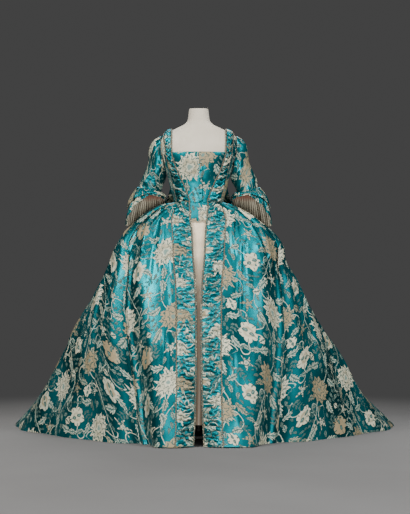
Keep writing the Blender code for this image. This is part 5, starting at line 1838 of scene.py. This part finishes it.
def build_compere(side):
    """Half the false front, whose edge laps over the other half's on the wearer's left."""
    sign = side["sign"]
    z = even(NECKLINE_Z, COMPERE_HEM_Z, COMPERE_ROW_STEP)[:, None]
    grid = compere_points(mix(HALF_SEAM, compere_edge(z), np.linspace(0, 1, COMPERE_COLUMNS)), z)
    fade = smooth((COMPERE_HEM_Z + COMPERE_POINT_FADE - z) / COMPERE_POINT_FADE)
    grid[..., 2] -= fade * COMPERE_POINT * (1 - np.abs(grid[..., 0]) / COMPERE_POINT_HALF_WIDTH)
    grid = grid * (sign, 1, 1)
    across, down = lengths(grid)
    wrinkles = noise(across / COMPERE_WRINKLE_WIDTH, z / COMPERE_WRINKLE_LENGTH, 101 + sign)
    kept = smooth((COMPERE_WRINKLE_TOP_Z - z) / COMPERE_WRINKLE_FADE)
    height = (LAP_HEIGHT if sign > 0 else 0.0) * smooth((LAP_WIDTH - across) / LAP_SLOPE)
    height -= EDGE_STITCH * smooth(1 - np.abs(across - EDGE_STITCH_IN) / EDGE_STITCH_WIDTH)
    height += COMPERE_WRINKLE * wrinkles * kept
    height -= NECK_TURN * smooth(1 - (NECKLINE_Z - z) / NECK_TURN_WIDTH)
    grid = moved_out(grid, height, sign)
    grid[:, 0, 0] = sign * HALF_SEAM
    hemmed = with_hem(grid, across, down, sign)
    sew("compere", side, *hemmed, "stretched", ["form_torso_cover"], (across, down))


def build_buttons():
    """Domed buttons covered in the gown's silk."""
    turn = np.linspace(0, 2 * math.pi, BUTTON_COLUMNS + 1)[:-1, None]
    for i in range(BUTTONS):
        z = mix(BUTTON_TOP_Z, BUTTON_BOTTOM_Z, i / (BUTTONS - 1))
        spots, heights = np.array([BUTTON_X, BUTTON_BESIDE_X, BUTTON_X]), np.array([z, z, z + BUTTON_ABOVE])
        foot, beside, above = compere_points(spots, heights)
        out = unit(np.cross(beside - foot, above - foot))
        right, up = unit(beside - foot), unit(np.cross(out, unit(beside - foot)))
        flat = (np.cos(turn) * right + np.sin(turn) * up) * BUTTON_RADIUS
        rises = [(wide, BUTTON_FOOT + BUTTON_HEIGHT * tall) for wide, tall in BUTTON_PROFILE]
        grid = np.array([foot + flat * wide + out * rise for wide, rise in rises])
        name = f"button_{i + 1}"
        offset = [start + step * i for start, step in zip(BUTTON_PLACE, BUTTON_PLACE_STEP)]
        made = cloth(name + "_covered", grid, 1, *lengths(grid, closed=True), closed=True, offset=offset)
        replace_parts(made, name)


# Sleeves


def kept_off(p, clearance):
    """Moves points level, away from the form, until they are that far off it."""
    p = p.copy()
    for _ in range(PUSHES):
        probe = p - np.array((clearance, 0, 0))
        near = (probe[..., 0] <= 0) | (torso_value(probe) < 0)
        if not near.any():
            break
        p[near, 0] += PUSH
    return p


def sleeve_ring(step, angles, grown, up=0.0):
    """A ring round the sleeve at a step of its table, on the wearer's left, kept off the bodice."""
    lean = SLEEVE.at(step, "lean_deg")
    centre = np.array([SLEEVE.at(step, c) for c in ("x", "y", "z")])
    centre = centre + np.array((-sin_deg(lean), 0, cos_deg(lean))) * up
    away = np.array((cos_deg(lean), 0, sin_deg(lean)))
    round_it = cos_deg(angles)[:, None] * np.array((0, -1, 0)) + sin_deg(angles)[:, None] * away
    ring = centre + (SLEEVE.at(step, "radius") + grown) * round_it
    return kept_off(ring, BODICE_LIFT + CLOTH + SLEEVE_CLEARANCE + grown)


def armhole_ring(angles, grown, lift):
    angles = angles % 360
    z = ARMHOLE_MIDDLE_Z + (ARMHOLE_DEPTH + grown) * np.minimum(sin_deg(angles), 0)
    lower = round_form(1, armhole_degrees(z, angles < 270, grown), z, lift)
    turn = np.minimum(angles, 180.0)
    upper = over_shoulder(1, armhole_x(turn, grown), turn, lift)
    return np.where((angles <= 180)[:, None], upper, lower)


def through(rings, count):
    """Rows on a smooth curve through rings of points."""
    rings = np.array(rings)
    padded = np.concatenate([2 * rings[:1] - rings[1:2], rings, 2 * rings[-1:] - rings[-2:-1]])
    rows = []
    for t in np.linspace(0, len(rings) - 1, count):
        i = min(int(t), len(rings) - 2)
        a, b, c, d = padded[i : i + 4]
        s = t - i
        bend = (2 * a - 5 * b + 4 * c - d) * s * s + (3 * b - a - 3 * c + d) * s**3
        rows.append(0.5 * (2 * b + (c - a) * s + bend))
    return np.array(rows)


RIM_LENGTH = 0.002


def with_lining(outer, across, down, thickness, sign):
    """A closed tube's outer rows, its rolled rim and its lining's rows, each with its lengths."""
    inner = outer - outward(outer, sign, closed=True) * thickness
    tip = (outer[-1] + inner[-1]) / 2 + unit(outer[-1] - outer[-2]) * thickness / 2
    grid = np.concatenate([outer, tip[None], inner[::-1]])
    across = np.concatenate([across, across[-1:], across[::-1]])
    return grid, across, np.concatenate([down, down[-1:] + RIM_LENGTH / 2, down[::-1] + RIM_LENGTH])


def build_sleeve(side):
    """A sleeve, pleated into its armhole, creased at the elbow and lined."""
    sign = side["sign"]
    angles = round_angles(SEAM_ANGLE, SLEEVE_COLUMNS)
    armhole = armhole_ring(angles, ARMHOLE_GROWN, BODICE_LIFT + SLEEVE_SEAT)
    rings = [sleeve_ring(step, angles, 0) for step in SLEEVE.keys]
    puff = SLEEVE_HEAD_PUFF * np.maximum(0.0, sin_deg(angles))
    head = (armhole + rings[0]) / 2 + puff[:, None] * HEAD_PUFF_WAY
    outer = through([armhole, head, *rings], SLEEVE_ROWS)
    t = np.linspace(0, 1, SLEEVE_ROWS)[:, None]
    round_at = angles[None, :] % 360
    loop = np.minimum(round_at / 360, 1 - round_at / 360) * 2
    top = smooth((HEAD_PLEAT_END - t) / HEAD_PLEAT_FADE) * np.maximum(0, sin_deg(round_at))
    top = top * smooth(t / SLEEVE_END_FADE)
    wander = noise(round_at / HEAD_PLEAT_WANDER_DEG, t * HEAD_PLEAT_WANDERS_DOWN, 111)
    pleats = np.sin(np.radians(round_at) * HEAD_PLEATS + HEAD_PLEAT_WANDER * wander)
    height = HEAD_PLEAT_HEIGHT * top * pleats
    for tall, around, along, slant, twist, seed in SLEEVE_CREASES:
        crease = noise(loop * around + slant * t, t * along + loop * twist, seed + sign)
        height = height + tall * crease * smooth(t / SLEEVE_CREASE_START)
    inner_elbow = np.maximum(0, cos_deg(round_at + ELBOW_TURN_DEG)) ** 2
    inner_elbow = inner_elbow * smooth((t - ELBOW_START) / ELBOW_FADE)
    height = height - ELBOW_CREASE * inner_elbow * np.abs(np.sin(t * ELBOW_FOLDS + loop * ELBOW_SLANT))
    outer = moved_out(outer, height * smooth((1 - t) / SLEEVE_END_FADE), 1, closed=True) * (sign, 1, 1)
    lined = with_lining(outer, *lengths(outer, closed=True), SLEEVE_CLOTH, sign)
    how = {"materials": ("brocade", "sleeve_lining"), "closed": True, "lining": SLEEVE_ROWS + 1}
    sew("sleeve", side, *lined, "gathered", ["form_torso_cover"], area_share=0.5, **how)


def skirt_top_z(x, y):
    """Height of the skirt's surface above or below points in plan."""
    low, high = np.full(np.shape(x), RUFFLE_REACH_Z), np.full(np.shape(x), WAIST_Z)
    for _ in range(RUFFLE_HALVINGS):
        z = (low + high) / 2
        half_width, middle, front, back, power = SKIRT.form(z)
        depth = np.where(y > middle, back - middle, front + middle)
        inside = (np.abs(x) / half_width) ** power + (np.abs(y - middle) / depth) ** power < 1
        low, high = np.where(inside, z, low), np.where(inside, high, z)
    return low


def build_ruffle(side, kind, table, waves, grown, up, hem_wave, seed):
    """A pinked ruffle that hangs from the sleeve's end and lies on the skirt where that is in its way."""
    sign = side["sign"]
    angles = round_angles(SEAM_ANGLE, RUFFLE_COLUMNS)
    degrees = angles % 360
    top = sleeve_ring(SLEEVE.keys[-1], angles, grown, up)
    t = np.linspace(0, 1, RUFFLE_ROWS)[:, None]
    out = unit((top - top.mean(axis=0)) * (1, 1, 0))
    wave = 0.5 - 0.5 * np.cos(np.radians(degrees * waves))
    drop, flare = table.at(degrees, "drop"), table.at(degrees, "flare")
    hem = top + out * (flare + hem_wave * wave)[:, None]
    pinks = np.abs(np.sin(np.radians(degrees) * waves * PINKS_A_WAVE / 2))
    low = np.maximum(top[:, 2] - drop, skirt_top_z(hem[:, 0], hem[:, 1]) + RUFFLE_CLEARANCE)
    hem[:, 2] = low - PINK_DEPTH * pinks * np.minimum(1, drop / PINK_FULL_DROP) + PINK_DEPTH
    p = (top + out * (RUFFLE_TOP_WAVE * wave)[:, None])[None]
    p = p + (hem[None] - p) * t[..., None]
    belly = flare * RUFFLE_BELLY * (np.sin(math.pi * t / 2) - t)
    wander = PLEATLET_WANDER * noise(degrees / PLEATLET_WANDER_DEG, 0 * degrees, seed)
    fine = np.sin(np.radians(degrees) * waves * PLEATLETS_A_WAVE + wander)
    drag = RUFFLE_DRAG * noise(degrees / RUFFLE_DRAG_DEG, RUFFLE_DRAGS_DOWN * t, seed + 1) * t
    p = p + out[None] * (belly + PLEATLET_HEIGHT * fine * smooth(t / PLEATLET_START) + drag)[..., None]
    outer = p * (sign, 1, 1)
    across = np.repeat(lengths(outer, closed=True)[0][-1:], RUFFLE_ROWS, axis=0)
    down = run_lengths(outer)
    lined = with_lining(outer, across, np.concatenate([down, down[:, :1]], axis=1), RUFFLE_CLOTH, sign)
    how = {"slot": "ruffle_silk", "materials": ("brocade", "facing"), "closed": True, "lining": RUFFLE_ROWS}
    sew(kind, side, *lined, "gathered", area_share=0.5, **how)


def build_petticoat():
    """The petticoat's four seamed widths, gathered into the waist."""
    z = even(PETTICOAT_TOP_Z, PETTICOAT_HEM_Z, PETTICOAT_ROW_STEP)[:, None]
    degrees = round_angles(PETTICOAT_SEAM_DEG, PETTICOAT_COLUMNS)
    grid = points(*PETTICOAT.section(degrees, z), z)
    wander = PETTICOAT_WANDER * noise(degrees / PETTICOAT_WANDER_DEG, z / PETTICOAT_WANDER_LENGTH, 121)
    folds = 0.5 - 0.5 * np.cos(np.radians(degrees) * PETTICOAT_GATHERS + wander)
    raised = smooth((z - PETTICOAT_FOLD_FOOT_Z) / PETTICOAT_FOLD_RISE)
    deep = mix(PETTICOAT_FOLD_LOW, PETTICOAT_FOLD_HIGH, raised)
    tuck = PETTICOAT_SEAM_TUCK * smooth(1 - np.abs(degrees % 90 - PETTICOAT_SEAM_DEG) / PETTICOAT_TUCK_DEG)
    height = -folds * deep * smooth((PETTICOAT_TOP_Z - z) / PETTICOAT_TOP_FADE) - tuck
    grid = moved_out(grid, height, 1, closed=True)
    flat = lengths(grid, closed=True)
    grid, *hemmed = with_hem(grid, *flat, 1, closed=True)
    made = cloth("petticoat_cloth", grid, 1, *hemmed, "petticoat_silk", ["petticoat"], closed=True)
    widths = [f"petticoat_{name}" for name in ("front", "back", "side_left", "side_right")]
    declare(made, *flat, "gathered", ["form_torso_cover"], widths)


FORM_FOOT_Z = 0.8800
FORM_TOP_Z = 1.4870
FORM_ROW_STEP = 0.006
FORM_COLUMNS = 96
FOOT_CAP = (0.97, 0.5, 0.02)
# The neck's flat cut and its rounded edge, in shares of its section and metres up from the top
NECK_CAP = ((0.02, 0.0), (0.6, 0.0), (0.93, 0.0), (0.985, -0.0008), (1.0, -0.0025))


def build_form():
    """The form's padded torso in jersey, with its neck cut flat."""
    z = even(FORM_FOOT_Z, FORM_TOP_Z, FORM_ROW_STEP)[::-1][:, None]
    grid = points(*form_section(round_angles(180, FORM_COLUMNS), z), z)
    neck, foot = grid[0], grid[-1]
    cap = [neck * (s, s, 1) + (0, 0, rise) for s, rise in NECK_CAP]
    base = [foot * (s, s, 1) for s in FOOT_CAP]
    grid = np.concatenate([cap, grid[1:], base])
    flat = lengths(grid, closed=True)
    made = cloth("form_torso_cover", grid, 1, *flat, "form_jersey", ["jersey"], closed=True)
    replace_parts(made, "form_torso")


RUFFLES = named(
    "kind table waves grown up hem_wave seed",
    ("sleeve_ruffle_lower", LOWER_RUFFLE, 13, RUFFLE_SEAT, 0.008, 0.0085, 131),
    ("sleeve_ruffle_upper", UPPER_RUFFLE, 12, RUFFLE_SEAT + RUFFLE_STEP, 0.010, 0.0070, 141),
)


for cad_name in ("stand_pole", "stand_base"):
    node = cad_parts[cad_name]
    node.data.materials.clear()
    node.data.materials.append(MATERIALS["metal"])

build_form()
build_petticoat()
build_buttons()
for side in (LEFT, RIGHT):
    for panel in PANELS:
        build_panel(side, panel)
    for build in (build_skirt_trimming, build_bodice, build_bodice_trimming, build_compere, build_sleeve):
        build(side)
    for ruffle in RUFFLES:
        build_ruffle(side, **ruffle)


# Studio

FLOOR_SIZE = 400.0
CAMERA_DISTANCE = 7.5
CAMERA_HEIGHT = 0.85
CAMERA_LENS = 115.4
CAMERA_SENSOR = 36.0
CAMERA_SHIFT_X = 6.3 / 514
CAMERA_SHIFT_Y = -8.0 / 514
LIGHTS = (
    ("overhead_softbox", (0.0, -1.6, 4.2), (0.0, 0.0, 0.7), 3.4, 2.0, 60.0, (1.0, 1.0, 1.0)),
    ("key_softbox", (-2.9, -2.8, 4.2), (0.0, 0.0, 0.7), 1.5, 1.7, 220.0, (1.0, 0.98, 0.95)),
    ("fill_softbox", (3.2, -2.8, 4.1), (0.0, 0.0, 0.7), 1.5, 1.7, 195.0, (0.96, 0.98, 1.0)),
    ("front_softbox", (0.6, -8.8, 0.7), (0.0, 0.0, 0.9), 3.6, 2.0, 150.0, (1.0, 1.0, 1.0)),
    ("low_softbox", (0.0, -4.2, 0.20), (0.0, 0.0, 1.30), 2.2, 0.4, 125.0, (1.0, 1.0, 1.0)),
    ("back_softbox", (0.0, 3.6, 3.8), (0.0, 0.3, 0.8), 3.4, 1.6, 150.0, (1.0, 1.0, 1.0)),
)


def build_studio():
    """A wide floor, soft lights and the camera."""
    half = FLOOR_SIZE / 2
    mesh = bpy.data.meshes.new("studio_floor")
    corners = [(-half, -half, 0), (half, -half, 0), (half, half, 0), (-half, half, 0)]
    mesh.from_pydata(corners, [], [(0, 1, 2, 3)])
    mesh.materials.append(MATERIALS["floor"])
    floor = bpy.data.objects.new("studio_floor", mesh)
    bpy.context.scene.collection.objects.link(floor)
    for name, place, aim, wide, tall, power, colour in LIGHTS:
        lamp = bpy.data.lights.new(name, "AREA")
        lamp.shape, lamp.size, lamp.size_y = "RECTANGLE", wide, tall
        lamp.energy, lamp.color = power, colour
        made = bpy.data.objects.new(name, lamp)
        made.location = place
        direction = Vector(aim) - Vector(place)
        made.rotation_euler = direction.to_track_quat("-Z", "Y").to_euler()
        made.visible_camera = False
        bpy.context.scene.collection.objects.link(made)
    world = bpy.data.worlds.new("studio")
    world.use_nodes = True
    world.node_tree.nodes["Background"].inputs["Color"].default_value = (*BACKGROUND, 1)
    world.node_tree.nodes["Background"].inputs["Strength"].default_value = 1.0
    bpy.context.scene.world = world
    camera = bpy.data.cameras.new("camera")
    camera.lens, camera.sensor_width, camera.sensor_height = CAMERA_LENS, CAMERA_SENSOR, CAMERA_SENSOR
    camera.sensor_fit = "VERTICAL"
    camera.shift_x, camera.shift_y = CAMERA_SHIFT_X, CAMERA_SHIFT_Y
    made = bpy.data.objects.new("camera", camera)
    made.location = (0, -CAMERA_DISTANCE, CAMERA_HEIGHT)
    made.rotation_euler = (math.pi / 2, 0, 0)
    bpy.context.scene.collection.objects.link(made)
    bpy.context.scene.camera = made


build_studio()
